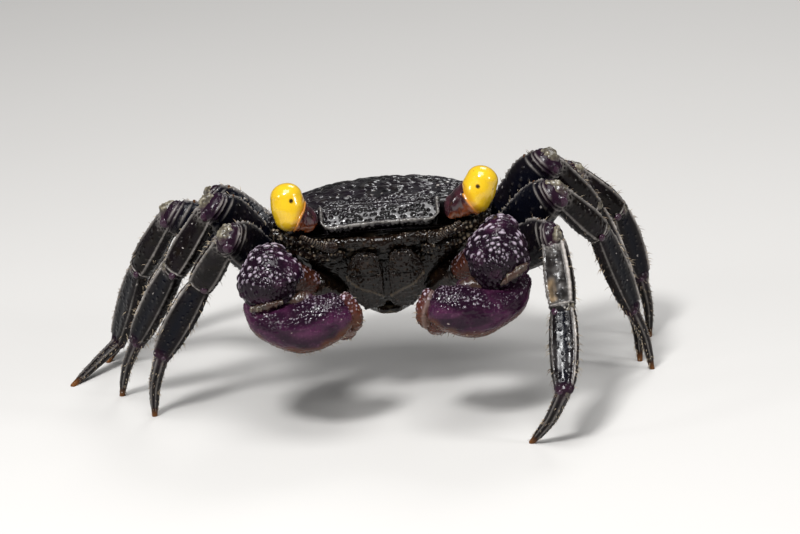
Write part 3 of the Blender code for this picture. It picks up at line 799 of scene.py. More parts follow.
def back_grains(form):
    """Coarse and fine grains, pale specks and the faint mottled patch behind."""
    points = form.points
    share = 1 - 0.5 * step_up(points[..., 1], -3.0, 2.5)
    coarse = granules(points * WIDE_GRAIN, 0.46, 0.5, 1) * share
    fine = granules(points, 0.2, 0.5, 21)
    form.lift(0.14 * coarse + 0.022 * fine)
    form.mark("grain", coarse)
    form.mark("grain", 0.45 * fine * share)
    form.mark("pale", 0.7 * step_up(granules(points, 0.9, 0.12, 31) * share, 0.2, 0.5))
    patch = step_up(points[..., 1], 1.0, 3.8) * (1 - step_up(np.abs(points[..., 0]), 3.0, 5.6))
    patch = patch * step_up(waves(points, 0.9, 41) + 0.6 * waves(points, 0.35, 51), -0.1, 0.6)
    form.mark("pale", 0.35 * patch)


# Front plate: y, height of the middle and half width, from under the lip over the ridge to the back
FRONT_PROFILE = [
    (-6.5, -0.85, 3.7),
    (-7.0, -0.74, 4.05),
    (-7.3, -0.52, 4.25),
    (-7.2, -0.15, 4.3),
    (-6.95, 0.2, 4.3),
    (-6.65, 0.55, 4.3),
    (-6.35, 0.88, 4.3),
    (-6.1, 1.04, 4.3),
    (-5.75, 1.08, 4.2),
    (-5.2, 1.0, 3.9),
]
FRONT_ROWS = 96
FRONT_COLUMNS = 220
FRONT_SAG = 0.14
FRONT_CORNER = 0.85
CORNER_BACK = 0.35
MIDDLE_BACK = 0.13
LOBE_RISE = 0.15

# Its hollow inside: how far in from its edge, and its foremost place
FRONT_INSET = 0.3
FRONT_INSIDE = -6.9

# The places of its lip and its ridge along the profile, and the spacing and shape of its pits
FRONT_LIP = 2 / 9
FRONT_RIDGE = 6.6 / 9
PIT_SPACING = 0.36
PIT_SHAPE = np.array((0.85, 1.0, 1.15))


def front_form():
    """The pitted plate between the eyes, with rounded lower corners, a raised edge and four lobes above."""
    t = np.linspace(0, 1, FRONT_ROWS)
    y, height, half = spline(FRONT_PROFILE, t).T
    f = np.linspace(-1, 1, FRONT_COLUMNS)
    x = f * half[:, None]
    lip, ridge = np.interp((FRONT_LIP, FRONT_RIDGE), t, height)
    low = 1 - np.clip((height - lip) / (ridge - lip), 0, 1)[:, None]
    past = np.clip(np.abs(x) - (half[:, None] - FRONT_CORNER), 0, FRONT_CORNER)
    rise = FRONT_CORNER - np.sqrt(FRONT_CORNER ** 2 - past ** 2)
    lobes = (step_up(t, 0.6, 0.74) * (1 - step_up(t, 0.88, 1.0)))[:, None]
    z = height[:, None] - FRONT_SAG * f * f + rise * low
    z = z + LOBE_RISE * lobes * np.abs(np.sin(2 * np.pi * (f + 1)))
    depth = y[:, None] + MIDDLE_BACK * line(f, 0, 0.14) * low
    depth = depth + CORNER_BACK * (past / FRONT_CORNER) ** 2 * low
    rings = [np.stack([x, depth, z], -1)]
    for g in (1.0, 0.5, 0.0, -0.5, -1.0):
        floor = np.full(FRONT_ROWS, SHELL_FLOOR)
        inner = np.stack([g * (half - FRONT_INSET), np.maximum(y, FRONT_INSIDE), floor], -1)
        rings.append(inner[:, None])
    form = even_form(np.concatenate(rings, 1))
    inside = np.zeros(form.along.shape)
    above_lip = z - (lip - FRONT_SAG * f * f + rise[FRONT_ROWS // 4])
    inside[:, :FRONT_COLUMNS] = np.minimum(above_lip, half[:, None] - np.abs(x))
    front_relief(form, np.where(form.along < FRONT_LIP - 0.03, 0, inside))
    return form


def front_relief(form, inside):
    """Pits over the face and ripples near its top, from how far inside its edge each point is. The pits are
    painted darker as shade, and the face between them paler as sheen.
    """
    points = form.points
    shown = (1 - step_up(form.along, FRONT_RIDGE - 0.04, FRONT_RIDGE + 0.05)) * (inside > 0)
    face = step_up(inside, 0.2, 0.27) * shown
    upper = step_up(points[..., 2], 0.45, 0.75) * face
    level = points * PIT_SHAPE
    level[..., 1] = 0.5 * PIT_SPACING
    pits = granules(level, PIT_SPACING, 0.42, 2) * face * (1 - 0.7 * upper)
    ripple = np.sin(2 * np.pi * (points[..., 2] / 0.28 + 0.5 * waves(points, 0.5, 9)))
    form.lift(0.05 * face * waves(points, 0.5, 10) - 0.17 * pits + 0.06 * upper * ripple)
    # Painted shade in the pits, and a painted sheen on the face between them through the grain-top tint
    form.mark("dark", 0.95 * step_up(pits, 0.2, 0.7))
    form.mark("grain", 0.8 * face * (1 - step_up(pits, 0.05, 0.3)))
    edge = line(inside, 0.12, 0.075) * shown
    beads = granules(points, 0.24, 0.6, 6)
    form.lift(edge * (0.09 + 0.04 * beads))
    form.mark("pale", 0.16 * edge + 0.2 * edge * beads)
    grains = granules(points, 0.34, 0.52, 7) * (1 - face) * (1 - edge)
    form.lift(0.11 * grains)
    form.mark("grain", grains)


def tooth_form(tip, root):
    form = tube([root, (root + tip) / 2, tip], TOOTH_SIZES, UP, FINE, ends=(0.5, 0.6))
    form.strew(0.06, 0.3, 0.5, 9)
    return form


def carapace(materials):
    forms = [back_form(), front_form()]
    for tooth in TEETH:
        for side in SIDES.values():
            forms.append(tooth_form(*(mirrored(point, side) for point in tooth)))
    for form in forms:
        form.turned(BODY)
    to_object("carapace_shell", forms, materials["shell"], ["carapace"])


# Eyes and their stalks, as in the solids, with the dark spot and the way that the stalk lies
STALK_ROOT = Vector((5.1, -7.0, -0.3))
STALK_SIZES = [(0.6, 0.6, 0.55), (0.9, 0.9, 0.95), (1.1, 1.1, 1.15), (1.05, 1.05, 1.1)]
STALK_BEND = Vector((-0.2, 0, 0))
STALK_END = 0.6
STALK_WAY = (0.86, -0.1, 0.5)
EYE_PLACE = {"left": Vector((7.2, -7.7, 1.35)), "right": Vector((6.4, -7.7, 1.35))}
EYE_LEAN = {"left": 26.0, "right": 6.0}
EYE_HALF = 0.75
EYE_SIZES = [(1.2, 1.2, 1.15), (1.25, 1.25, 1.25), (1.15, 1.15, 1.15)]
EYE_ENDS = (0.85, 0.85)
EYE_SPOT = {"left": Vector((-0.04, -0.93, 0.26)), "right": Vector((0.22, -0.88, 0.42))}

# How points are stretched so that soft skin folds lengthwise
FOLDS = np.array((2.2, 1.0, 0.7))


def eye_form(name):
    side, middle, lean = SIDES[name], EYE_PLACE[name], math.radians(EYE_LEAN[name])
    along = EYE_HALF * Vector((math.sin(lean), 0, math.cos(lean)))
    path = [mirrored(p, side) for p in (middle - along, middle, middle + along)]
    return tube(path, EYE_SIZES, FRONT, FINE, ends=EYE_ENDS)


def eyeball(name, middle, inwards):
    """The yellow eye, amber and rimmed towards its stalk, with its dark spot and a highlight painted along
    the rim's upper side.
    """
    form = eye_form(name)
    out = form.points - middle
    past = out @ inwards
    form.mark("amber", 0.85 * step_up(past + 0.14 * waves(form.points, 0.5, 5), 0.35, 0.85))
    form.mark("rust", step_up(past, 0.86, 0.98))
    out /= np.linalg.norm(out, axis=-1, keepdims=True)
    upper = step_up(out[..., 2], 0.1, 0.5)
    form.mark("rust", 0.8 * line(past, 0.60, 0.035) * upper)
    # A pale line along the clear rim, on its upper side only: a painted highlight
    form.mark("pale", 0.55 * line(past, 0.72, 0.06) * upper)
    spot = np.array(EYE_SPOT[name].normalized())
    form.mark("dark", step_up(out @ spot + 0.003 * waves(form.points, 0.15, 6), 0.989, 0.996))
    form.mark("dark", 0.7 * specks(form.points, 0.8, 0.075, 8))
    return form


def stalk_forms(name, middle, inwards):
    """The stalk, and the cup that wraps the eye's inner and lower side."""
    side, centre = SIDES[name], EYE_PLACE[name]
    cup = eye_form(name)
    past = (cup.points - middle) @ inwards + 0.1 * waves(cup.points, 0.6, 3)
    cup.lift(-0.25 + 0.31 * step_up(past, 0.72, 0.98))
    cup.mark("amber", 0.8 * line(past, 0.92, 0.10))
    bend = STALK_ROOT.lerp(centre, STALK_END / 2) + STALK_BEND
    path = [STALK_ROOT, bend, STALK_ROOT.lerp(centre, STALK_END), centre]
    stalk = tube([mirrored(p, side) for p in path], STALK_SIZES, FRONT, FINE, ends=(0.4, 0.3))
    stalk.lift(0.06 * waves(stalk.points * FOLDS, 0.45, 4))
    for part in (cup, stalk):
        lower = -part.normals()[..., 2] + 0.2 * waves(part.points, 0.7, 2)
        part.mark("rust", 0.95 * step_up(lower, 0.15, 0.7))
    return [cup, stalk]


def eye(name, materials):
    side = SIDES[name]
    middle = np.array(mirrored(EYE_PLACE[name], side))
    inwards = -np.array(STALK_WAY) * (side, 1, 1)
    for kind, forms, slot in (
        ("eye", [eyeball(name, middle, inwards)], "eye"),
        ("eyestalk", stalk_forms(name, middle, inwards), "stalk"),
    ):
        for part in forms:
            part.turned(BODY)
        to_object(f"{kind}_{name}_form", forms, materials[slot], [f"{kind}_{name}"])


# Claws, as in the solids, in a frame at the middle of the wrist: x outwards, y backwards, z up
WRIST = {"left": Vector((8.1, -2.8, -1.05)), "right": Vector((-8.0, -2.8, -1.65))}
CLAW_TURN = {"left": 0.0, "right": 7.0}
ARM_ROOT = Vector((4.5, -4.2, -5.1))
ARM_END = Vector((-0.2, 1.9, -0.8))
ARM_SIZES = [(0.8, 0.8, 0.8), (1.05, 1.0, 1.0), (1.25, 1.2, 1.2), (1.2, 1.1, 1.2)]
WRIST_PATH = {
    "left": [(0.45, 0.3, 1.75), (0.2, 0.0, 0.5), (-0.1, -0.3, -0.9), (-0.8, -0.5, -2.4)],
    "right": [(0.0, 0.3, 1.1), (0.0, 0.0, 0.0), (0.05, -0.3, -1.1), (-0.25, -0.5, -2.1)],
}
WRIST_SIZES = {
    "left": [(1.2, 1.2, 1.1), (1.75, 1.9, 2.05), (1.8, 1.75, 2.25), (0.8, 0.8, 0.95)],
    "right": [(1.2, 1.2, 1.25), (1.75, 1.9, 2.15), (1.8, 1.75, 2.3), (0.9, 0.9, 1.3)],
}
PALM_PATH = [(1.35, 0.1, -2.1), (0.5, -0.5, -3.6), (-1.5, -1.2, -4.2)]
PALM_PATH += [(-3.2, -1.4, -3.9), (-4.3, -1.2, -3.5)]
PALM_SIZES = [(0.9, 0.9, 1.2), (1.35, 1.4, 1.5), (1.85, 1.85, 1.7), (1.85, 1.8, 1.6), (1.45, 1.5, 1.35)]
PALM_DEPTH = {"left": 0.87, "right": 1.0}
FIXED_PATH = [(-3.6, -1.2, -4.6), (-4.4, -0.4, -5.3), (-4.6, 0.8, -5.8), (-4.4, 2.0, -6.0)]
FIXED_SIZES = [(0.85, 0.8, 0.9), (0.65, 0.6, 0.7), (0.5, 0.45, 0.5), (0.25, 0.25, 0.25)]
FINGER_PATH = [(-4.9, -1.0, -2.8), (-5.3, -0.95, -3.8), (-5.3, -0.45, -4.8), (-4.9, 0.45, -5.6)]
FINGER_SIZES = [(0.55, 0.55, 0.55), (0.65, 0.6, 0.65), (0.55, 0.5, 0.55), (0.25, 0.25, 0.25)]

# Soft skins between wrist and palm: the wrinkled pocket in front and the fold on the inner side
POCKET_PLACE = {"left": (1.15, -1.85, -1.25), "right": (0.6, -1.55, -2.1)}
POCKET_SIZE = (1.25, 0.3, 0.3)
POCKET_TILT = {"left": 36.0, "right": -12.0}
FOLD_PLACE = (-1.75, -0.45, -2.4)
FOLD_SIZE = (1.25, 0.75, 0.65)

# The radius at which the wrist's grains keep their width, their stretch, and that of the palm's ripples
ARC_RADIUS = 1.5
ARC_STRETCH = 1.35
STREAKS = np.array((0.45, 1.0, 1.3))


def claw_points(name, path):
    turn = Matrix.Rotation(math.radians(CLAW_TURN[name]), 3, "Y")
    centre = PIVOT_PLACE + WRIST[name]
    return [centre + mirrored(turn @ Vector(point), SIDES[name]) for point in path]


def claw_grains(form, spacing, height, share, salt, space=None):
    """Round grains over a form, with paler tops painted on those that face up, as highlight. space is where
    its points lie as they are strewn.
    """
    # Grains that face up are marked paler: a painted highlight from above
    wear_and_shine = 0.6 + 0.4 * step_up(form.normals()[..., 2], -0.3, 0.6)
    grain = granules(form.points if space is None else space, spacing, 0.46, salt) * share
    form.lift(height * grain)
    form.mark("grain", wear_and_shine * grain)


def arcs_round(points, centre):
    """The points of a form, bent so that grains come out long along arcs round a centre."""
    x, z = points[..., 0] - centre.x, points[..., 2] - centre.z
    arc = np.arctan2(z, x) * ARC_RADIUS / ARC_STRETCH
    return np.stack([np.hypot(x, z), arc, points[..., 1]], -1)


def wrist_form(name):
    """The bulging wrist, strewn with grains that run in arcs."""
    form = tube(claw_points(name, WRIST_PATH[name]), WRIST_SIZES[name], FRONT, FINE, ends=(0.55, 0.5))
    centre = claw_points(name, [(0.0, 0.0, -0.6)])[0]
    form.lift(0.05 * waves(form.points, 1.2, 10) + 0.06 * line(form.along, 0.84, 0.03))
    claw_grains(form, 0.29, 0.13, 1.0, 12, arcs_round(form.points, centre))
    claw_grains(form, 0.16, 0.03, 0.6, 19)
    form.mark("dark", 0.95 - 0.4 * patches(form.points, 1.1, 20, 0.1, 0.7))
    return form


def palm_form(name):
    """The swollen palm: dark and grained above, mottled and rippled on its side, brown below."""
    up = (SIDES[name] * 0.2, 0, 1)
    sizes = [(above, below * PALM_DEPTH[name], across) for above, below, across in PALM_SIZES]
    form = tube(claw_points(name, PALM_PATH), sizes, up, FINE, power=2.2, ends=(0.6, 0.5))
    over = np.sin(form.angle)
    height = over + 0.14 * waves(form.points, 0.9, 4)
    upper = step_up(height, 0.1, 0.5) * step_up(form.along, 0.3, 0.5)
    claw_grains(form, 0.22, 0.07, 0.8 * upper, 13)
    claw_grains(form, 0.2, 0.05, 0.7 * (1 - upper), 15)
    crest = line(height, 0.24, 0.07) * step_up(form.along, 0.2, 0.4)
    form.lift(0.06 * crest * granules(form.points, 0.24, 0.6, 14))
    # The crest's grain mark paints a highlight along it
    form.mark("grain", 0.4 * crest)
    form.lift(0.08 * waves(form.points * STREAKS, 0.7, 21) * (1 - upper))
    form.mark("dark", 0.85 * upper)
    form.mark("dark", 0.75 * patches(form.points * STREAKS, 0.9, 22, -0.1, 0.5))
    form.mark("rust", step_up(0.18 * waves(form.points, 0.6, 5) - over, 0.3, 0.8))
    form.mark("pale", 0.7 * specks(form.points, 0.85, 0.08, 16, 0.3))
    return form


def finger_form(name, path, sizes, up):
    """The palm's own finger or the moving one: keeled, grained near its root and browner to its tip."""
    form = tube(claw_points(name, path), sizes, up, FINE, ends=(0.8, 0.8))
    keel = line(np.cos(form.angle), 0.9, 0.1) * (1 - step_up(form.along, 0.8, 1.0))
    form.lift(0.05 * keel)
    form.mark("pale", 0.25 * keel)
    claw_grains(form, 0.27, 0.07, 1 - step_up(form.along, 0.6, 0.9), 17)
    form.mark("rust", 0.4 + 0.6 * step_up(form.along, -0.1, 0.5))
    form.mark("dark", 0.6 * (1 - step_up(form.along, 0.0, 0.4)))
    return form


def arm_ends(name):
    """Where the arm that carries the wrist leaves the body, and where it ends."""
    side = SIDES[name]
    return BODY @ mirrored(ARM_ROOT, side), PIVOT_PLACE + WRIST[name] + mirrored(ARM_END, side)


def arm_form(name):
    """The arm that carries the wrist, dark and finely grained."""
    root, end = arm_ends(name)
    start = root + (end - root).normalized() * COXA_REACH
    form = tube([start, (start + end) / 2, end], ARM_SIZES, UP, MEDIUM, ends=(0.0, 0.4))
    claw_grains(form, 0.32, 0.08, 1.0, 18)
    form.mark("rust", 0.6)
    form.mark("dark", 0.9)
    return form


def pocket_form(name):
    """The wrinkled skin in the fold between wrist and palm."""
    side, tilt = SIDES[name], math.radians(POCKET_TILT[name])
    along = (side * math.cos(tilt), 0, math.sin(tilt))
    over = (-side * math.sin(tilt), 0, math.cos(tilt))
    centre = claw_points(name, [POCKET_PLACE[name]])[0]
    form = ball(centre, POCKET_SIZE, (along, FRONT, over), LEG_FINE)
    folds = waves(form.points * FOLDS, 0.3, 7)
    form.lift(0.1 * folds)
    form.mark("brown", 1 - 0.7 * patches(form.points, 0.5, 8, 0.25, 0.6))
    form.mark("pale", 0.6 * step_up(folds, 0.5, 0.9))
    return form


def fold_form(name):
    """The soft skin that closes the gap between wrist and palm on the inner side."""
    centre = claw_points(name, [FOLD_PLACE])[0]
    form = ball(centre, FOLD_SIZE, ((SIDES[name], 0, 0), FRONT, UP), MEDIUM)
    form.lift(0.08 * waves(form.points * FOLDS, 0.4, 23))
    form.mark("brown", 0.9)
    form.mark("purple", patches(form.points, 0.6, 24, 0.0, 0.5))
    return form


def claw(name, materials, coat):
    side = SIDES[name]
    palm = [palm_form(name), finger_form(name, FIXED_PATH, FIXED_SIZES, (side * 0.2, 0, 1))]
    finger = finger_form(name, FINGER_PATH, FINGER_SIZES, (side, 0.3, 0))
    for form, count in ((palm[0], 26), (palm[1], 8), (finger, 8)):
        coat.sow(form, -90, 30, count, 0.4)
        coat.next_host()
    for node, forms in (
        ("merus", [arm_form(name)]),
        ("carpus", [wrist_form(name)]),
        ("palm", palm),
        ("finger", [finger]),
    ):
        to_object(f"claw_{node}_{name}_shell", forms, materials["claw"], [f"claw_{node}_{name}"])
    skins = [pocket_form(name), fold_form(name)]
    to_object(f"claw_membrane_{name}", skins, materials["membrane"], [])


# Below the carapace, as in the solids: y at the top, lean towards the back per millimetre down,
# half width above, half width below, and depth
UNDER = [
    (-6.0, 0.42, 6.4, 2.6, -4.6),
    (-5.5, 0.36, 7.0, 3.6, -5.6),
    (-4.2, 0.22, 7.25, 5.0, -6.5),
    (-2.0, 0.08, 7.3, 5.6, -6.95),
    (0.5, 0.0, 7.2, 5.7, -7.0),
    (3.0, -0.06, 6.85, 5.4, -6.9),
    (4.8, -0.14, 6.1, 4.6, -6.6),
    (6.0, -0.24, 5.0, 3.6, -6.0),
    (6.6, -0.3, 3.6, 2.6, -5.2),
]
UNDER_TOP = -1.1
UNDER_ROWS = 120
UNDER_COLUMNS = 110
LID_COLUMNS = 15
CAP_ROWS = 70
FRONT_BULGE = -0.25
BACK_BULGE = 0.3
COXA_SIZES = [(0.9, 0.9, 0.8), (1.05, 1.0, 0.8), (0.9, 0.9, 0.7)]
ARM_STUB_SIZES = [(1.1, 1.1, 1.1), (1.15, 1.1, 1.1), (1.0, 0.95, 0.95)]
ORBIT_RIMS = [  # granular ridges below the eye: path and half thickness
    ([(3.9, -6.85, -1.75), (5.2, -6.95, -1.5), (6.6, -6.75, -1.1), (7.7, -6.3, -0.6)], 0.28),
    ([(3.0, -6.35, -2.7), (4.6, -6.35, -2.45), (6.2, -6.1, -2.0), (7.2, -5.6, -1.6)], 0.3),
]
STERNUM_GROOVES = (-2.6, 0.15, 2.15, 4.0)


def under_ring(y, lean, wide, narrow, deep):
    """One ring round the body below the carapace: down its left wall, up its right one and over the top."""
    floor = deep - 0.08
    corners = [
        (wide, UNDER_TOP),
        (wide - 0.35, -2.2),
        (0.45 * wide + 0.55 * narrow, -3.7),
        (narrow, -4.9),
        (0.82 * narrow, 0.72 * deep - 1.51),
        (0.5 * narrow, deep),
        (0.0, floor),
    ]
    half = spline([(x, max(z, floor)) for x, z in corners], np.linspace(0, 1, UNDER_COLUMNS))
    x = np.concatenate([half[:, 0], -half[-2::-1, 0], wide * np.linspace(-0.9, 0.9, LID_COLUMNS)])
    z = np.concatenate([half[:, 1], half[-2::-1, 1], np.full(LID_COLUMNS, UNDER_TOP)])
    return np.stack([x, y + lean * (UNDER_TOP - z), z], -1)


def bulging_end(ring, out):
    """Rings that close an end of the body, from near its middle out to its last ring."""
    middle = ring.mean(0)
    share = np.linspace(0.02, 0.985, CAP_ROWS)[:, None, None]
    rings = middle + (ring - middle)[None] * share
    rings[..., 1] += out * (1 - share[..., 0] ** 2)
    return rings


def underbody_form():
    """The walls, floor and front face of the body below the carapace."""
    rings = np.array([under_ring(*row) for row in spline(UNDER, np.linspace(0, 1, UNDER_ROWS))])
    front, back = bulging_end(rings[0], FRONT_BULGE), bulging_end(rings[-1], BACK_BULGE)
    points = np.concatenate([front, rings, back[::-1]])
    form = even_form(points)
    x, y, z = np.abs(points[..., 0]), points[..., 1], points[..., 2]
    below = step_up(-z, 4.6, 5.4) * step_up(x, 0.9, 1.6)
    for place in STERNUM_GROOVES:
        form.lift(-0.12 * below * line(y - 0.08 * x, place, 0.14))
    front = 1 - step_up(y, -5.6, -4.2)
    lines = np.clip(np.sin(2 * np.pi * (z + 0.3 * x + 0.12 * waves(points, 1.2, 62)) / 0.5), 0, 1)
    beaded = (0.25 + 0.75 * lines) * granules(points, 0.3, 0.55, 61)
    form.lift(0.13 * front * beaded)
    form.mark("grain", front * beaded)
    coarse = granules(points, 0.4, 0.42, 65)
    form.lift(0.05 * coarse * (1 - front))
    form.mark("grain", 0.8 * coarse * (1 - front))
    form.mark("pale", 0.35 * step_up(waves(points, 0.9, 71) + waves(points, 0.35, 73), 0.5, 1.0) * front)
    return form


def stub_form(root, way, up, sizes, hand=1):
    """The first joint of a leg or arm, with a rim at its outer end."""
    path = [root - way * STUB_DEPTH, root, root + way * COXA_REACH]
    form = tube(path, sizes, up, STUB_FINE, ends=(0.9, 0.25), hand=hand)
    form.lift(0.07 * line(form.along, 0.9, 0.04) - 0.05 * line(form.along, 0.75, 0.03))
    leg_grains(form, 0.36, 0.04)
    return form


def underbody(materials):
    """The body below the carapace with the first joint of every leg and arm."""
    forms = [underbody_form().turned(BODY)]
    for name, side in SIDES.items():
        for path, thick in ORBIT_RIMS:
            path = [mirrored(point, side) for point in path]
            rim = tube(path, [(thick, thick, thick)] * 4, UP, FINE, ends=(0.6, 0.6))
            grain = rim.strew(0.13, 0.3, 0.55, 67)
            # Pale on the tops of the rims' grains is painted highlight
            rim.mark("pale", 0.5 * step_up(grain, 0.7, 1.0))
            forms.append(rim.turned(BODY))
        root, end = arm_ends(name)
        forms.append(stub_form(root, (end - root).normalized(), UP, ARM_STUB_SIZES))
        for pair in ROOTS:
            joints, planes = leg_joints(name, pair)
            way = (joints[1] - joints[0]).normalized()
            forms.append(stub_form(joints[0], way, planes[0].cross(way), COXA_SIZES, side))
    to_object("underbody_shell", forms, materials["underside"], ["underbody"])


TAIL_PATH = [(0, 7.3, -1.8), (0, 7.35, -3.6), (0, 7.1, -5.4), (0, 5.8, -7.0)]
TAIL_PATH += [(0, 3.6, -7.65), (0, 1.2, -7.7), (0, -1.0, -7.65)]
TAIL_WIDTHS = [3.0, 2.9, 2.7, 2.5, 2.1, 1.5, 0.75]
TAIL_THICK = 0.3


def abdomen(materials):
    """The tail, folded flat under the body, in seven lengths."""
    sizes = [(TAIL_THICK, TAIL_THICK, width) for width in TAIL_WIDTHS]
    form = tube(TAIL_PATH, sizes, (0, 0.35, -1), TAIL_FINE, power=2.6)
    lengths = len(TAIL_WIDTHS) - 1
    place = form.along * lengths + 0.12 * np.abs(np.cos(form.angle)) ** 2
    joint = np.abs(place - np.round(place)) / lengths
    form.lift(0.05 - 0.13 * line(joint, 0, 0.008))
    form.mark("pale", 0.25 * line(joint, 0.016, 0.006))
    grain = granules(form.points, 0.3, 0.4, 77)
    form.lift(0.03 * grain)
    form.mark("grain", 0.6 * grain)
    form.turned(BODY)
    to_object("abdomen_shell", [form], materials["underside"], ["abdomen"])


# Plates and feelers about the mouth: paths, and half sizes over, under and through
EPISTOME_PATH = [(3.9, -6.5, -1.75), (2.0, -6.75, -1.85), (0.0, -6.8, -1.9)]
EPISTOME_SIZES = [(0.35, 0.35, 0.3), (0.42, 0.42, 0.35), (0.42, 0.5, 0.38)]
MAXILLIPED_PATH = [(1.0, -4.3, -6.6), (1.45, -5.45, -5.3), (1.5, -6.35, -3.9), (1.25, -6.8, -2.85)]
MAXILLIPED_SIZES = [(0.35, 0.35, 0.75), (0.4, 0.4, 1.15), (0.4, 0.4, 1.2), (0.32, 0.32, 0.8)]
ANTENNA_PATH = [(3.6, -7.75, -1.8), (4.0, -8.2, -1.7), (4.7, -8.8, -1.3), (5.6, -9.1, -0.7)]
ANTENNA_SIZES = [(half, half, half) for half in (0.4, 0.32, 0.26, 0.18)]
ANTENNULE_PATH = [(1.0, -7.65, -1.75), (1.7, -7.75, -1.6), (2.5, -7.65, -1.6)]
ANTENNULE_SIZES = [(0.28, 0.28, 0.25), (0.3, 0.3, 0.28), (0.25, 0.25, 0.25)]


def epistome_form():
    """The scalloped plate above the mouth."""
    path = [mirrored(point, -1) for point in EPISTOME_PATH[:-1]] + EPISTOME_PATH[::-1]
    form = tube(path, EPISTOME_SIZES + EPISTOME_SIZES[-2::-1], UP, FINE)
    form.lift(0.1 * np.cos(2 * np.pi * 4 * form.along) * step_up(-np.sin(form.angle), 0.0, 0.8))
    claw_grains(form, 0.3, 0.07, 1.0, 81)
    form.mark("pale", 0.4 * patches(form.points, 0.8, 83, 0.35, 0.7))
    return form


def maxilliped_form(side):
    """The outer mouthpart, in two lengths, with a slanting keel and a rim."""
    path = [mirrored(point, side) for point in MAXILLIPED_PATH]
    form = tube(path, MAXILLIPED_SIZES, (0, -0.8, -0.55), FINE, power=2.6, hand=side)
    across = np.cos(form.angle)
    facing = step_up(np.sin(form.angle), 0.0, 0.3)
    form.lift(-0.13 * line(form.along, 0.62, 0.018) * facing)
    slant = line(form.along, 0.36 + 0.22 * across, 0.022) * facing
    form.lift(0.07 * slant + 0.09 * line(np.abs(across), 0.93, 0.06) * facing)
    form.mark("pale", 0.2 * slant)
    claw_grains(form, 0.26, 0.09, 1.0, 85)
    return form


def antenna_form(side):
    """The antenna, ringed past its three broad lengths."""
    form = tube([mirrored(point, side) for point in ANTENNA_PATH], ANTENNA_SIZES, UP, ANTENNA_FINE)
    base = 1 - step_up(form.along, 0.42, 0.48)
    rings = np.sin(2 * np.pi * 9 * form.along)
    form.lift(0.05 * np.abs(np.sin(3 * np.pi * form.along / 0.45)) * base)
    form.lift((0.035 * np.abs(rings) - 0.06) * (1 - base))
    form.mark("pale", 0.3 * line(rings, 0, 0.3) * (1 - base))
    claw_grains(form, 0.2, 0.03, 1.0, 87)
    return form


def antennule_form(side):
    """The antennule, folded under the front."""
    form = tube([mirrored(point, side) for point in ANTENNULE_PATH], ANTENNULE_SIZES, UP, ANTENNULE_FINE)
    form.lift(0.05 * np.abs(np.sin(3 * np.pi * form.along)))
    claw_grains(form, 0.2, 0.03, 1.0, 87)
    return form


def mouthparts(materials):
    forms = {"epistome": epistome_form()}
    for name, side in SIDES.items():
        forms[f"maxilliped_{name}"] = maxilliped_form(side)
        forms[f"antenna_{name}"] = antenna_form(side)
        forms[f"antennule_{name}"] = antennule_form(side)
    for node, form in forms.items():
        form.turned(BODY)
        to_object(f"{node}_shell", [form], materials["underside"], [node])


def leg_grains(form, spacing, height, share=1.0):
    form.strew(height, spacing, 0.33, 11, share)
    # The sparse pale specks are painted glints
    form.mark("pale", 0.5 * specks(form.points, 0.8, 0.08, 12))


# The sharp spine on a merus: its place along, how far over the middle its root lies, and its length
SPINE_PLACE = 0.84
SPINE_RISE = 0.9
SPINE_LENGTH = 1.1
SPINE_SIZES = [(0.45, 0.45, 0.3), (0.3, 0.3, 0.22), (0.1, 0.1, 0.1)]

# The fine ridges of the lower lengths: angle round, width in degrees, height, and paleness, which is a
# highlight painted along the ridge
CARPUS_RIDGES = [(-48, 4, 0.13, 0.4), (92, 4, 0.1, 0.3), (124, 4, 0.1, 0.35), (-124, 4, 0.1, 0.3)]
PROPODUS_RIDGES = [(62, 6, 0.18, 0.95), (-42, 4, 0.1, 0.3), (90, 5, 0.08, 0.2), (126, 5, 0.12, 0.4)]
DACTYLUS_RIDGES = (30, -25, 90, -90, 150, 205)

# The raised rims at a merus's end: place along and height. Their pale marks are painted highlights.
MERUS_RIMS = ((0.87, 0.05), (0.94, 0.1), (0.99, 0.08))

# How worn and grey a leg's lower lengths are, from 0 to 1, where they are at all. The same share widens and
# brightens the highlight painted along the carpus's outer ridge.
WEAR_AND_RIDGE_SHINE = {("left", 2): 1.0, ("right", 2): 0.2}


def merus(path, up, hand, _):
    """The long flat first length: a beaded upper edge, a rimmed end and a spine."""
    form = tube(path, MERUS, up, MEDIUM, ends=(0.3, 0.55), hand=hand)
    form.lift(0.07 * waves(form.points, 1.6))
    # Pale along the ridges and the rims at its end is painted highlight
    form.mark("pale", 0.35 * form.ridge(90, 7, 0.22, 0.1, 1.0, grains=0.8))
    form.mark("pale", 0.15 * form.ridge(-62, 5, 0.09, 0.05, 1.0))
    for place, height in MERUS_RIMS:
        rim = line(form.along, place + 0.02 * np.cos(form.angle) ** 2, 0.008)
        form.lift(height * rim)
        form.mark("pale", 0.3 * rim * (0.5 + 0.5 * np.sin(3 * form.angle)))
    wrinkles = step_up(np.sin(2 * np.pi * (form.along * 16 + 0.8 * waves(form.points, 1.3, 13))), 0.8, 1.0)
    form.lift(0.03 * wrinkles * step_up(np.sin(form.angle), 0.0, 0.6))
    leg_grains(form, 0.5, 0.06)
    form.mark("blue", 0.9 - 0.5 * patches(form.points, 2.5, 14, -0.2, 0.5))
    form.mark("purple", 0.4 * step_up(form.along, 0.88, 1.05))
    start, end = Vector(path[0]), Vector(path[-1])
    way = (end - start).normalized()
    root = start.lerp(end, SPINE_PLACE) + SPINE_RISE * up
    tip = root + SPINE_LENGTH * (0.75 * up + 0.55 * way)
    spine = tube([root, (root + tip) / 2, tip], SPINE_SIZES, way, MEDIUM, ends=(0.0, 0.5))
    spine.mark("amber", 0.5 * step_up(spine.along, 0.5, 1.0))
    return [form, spine]


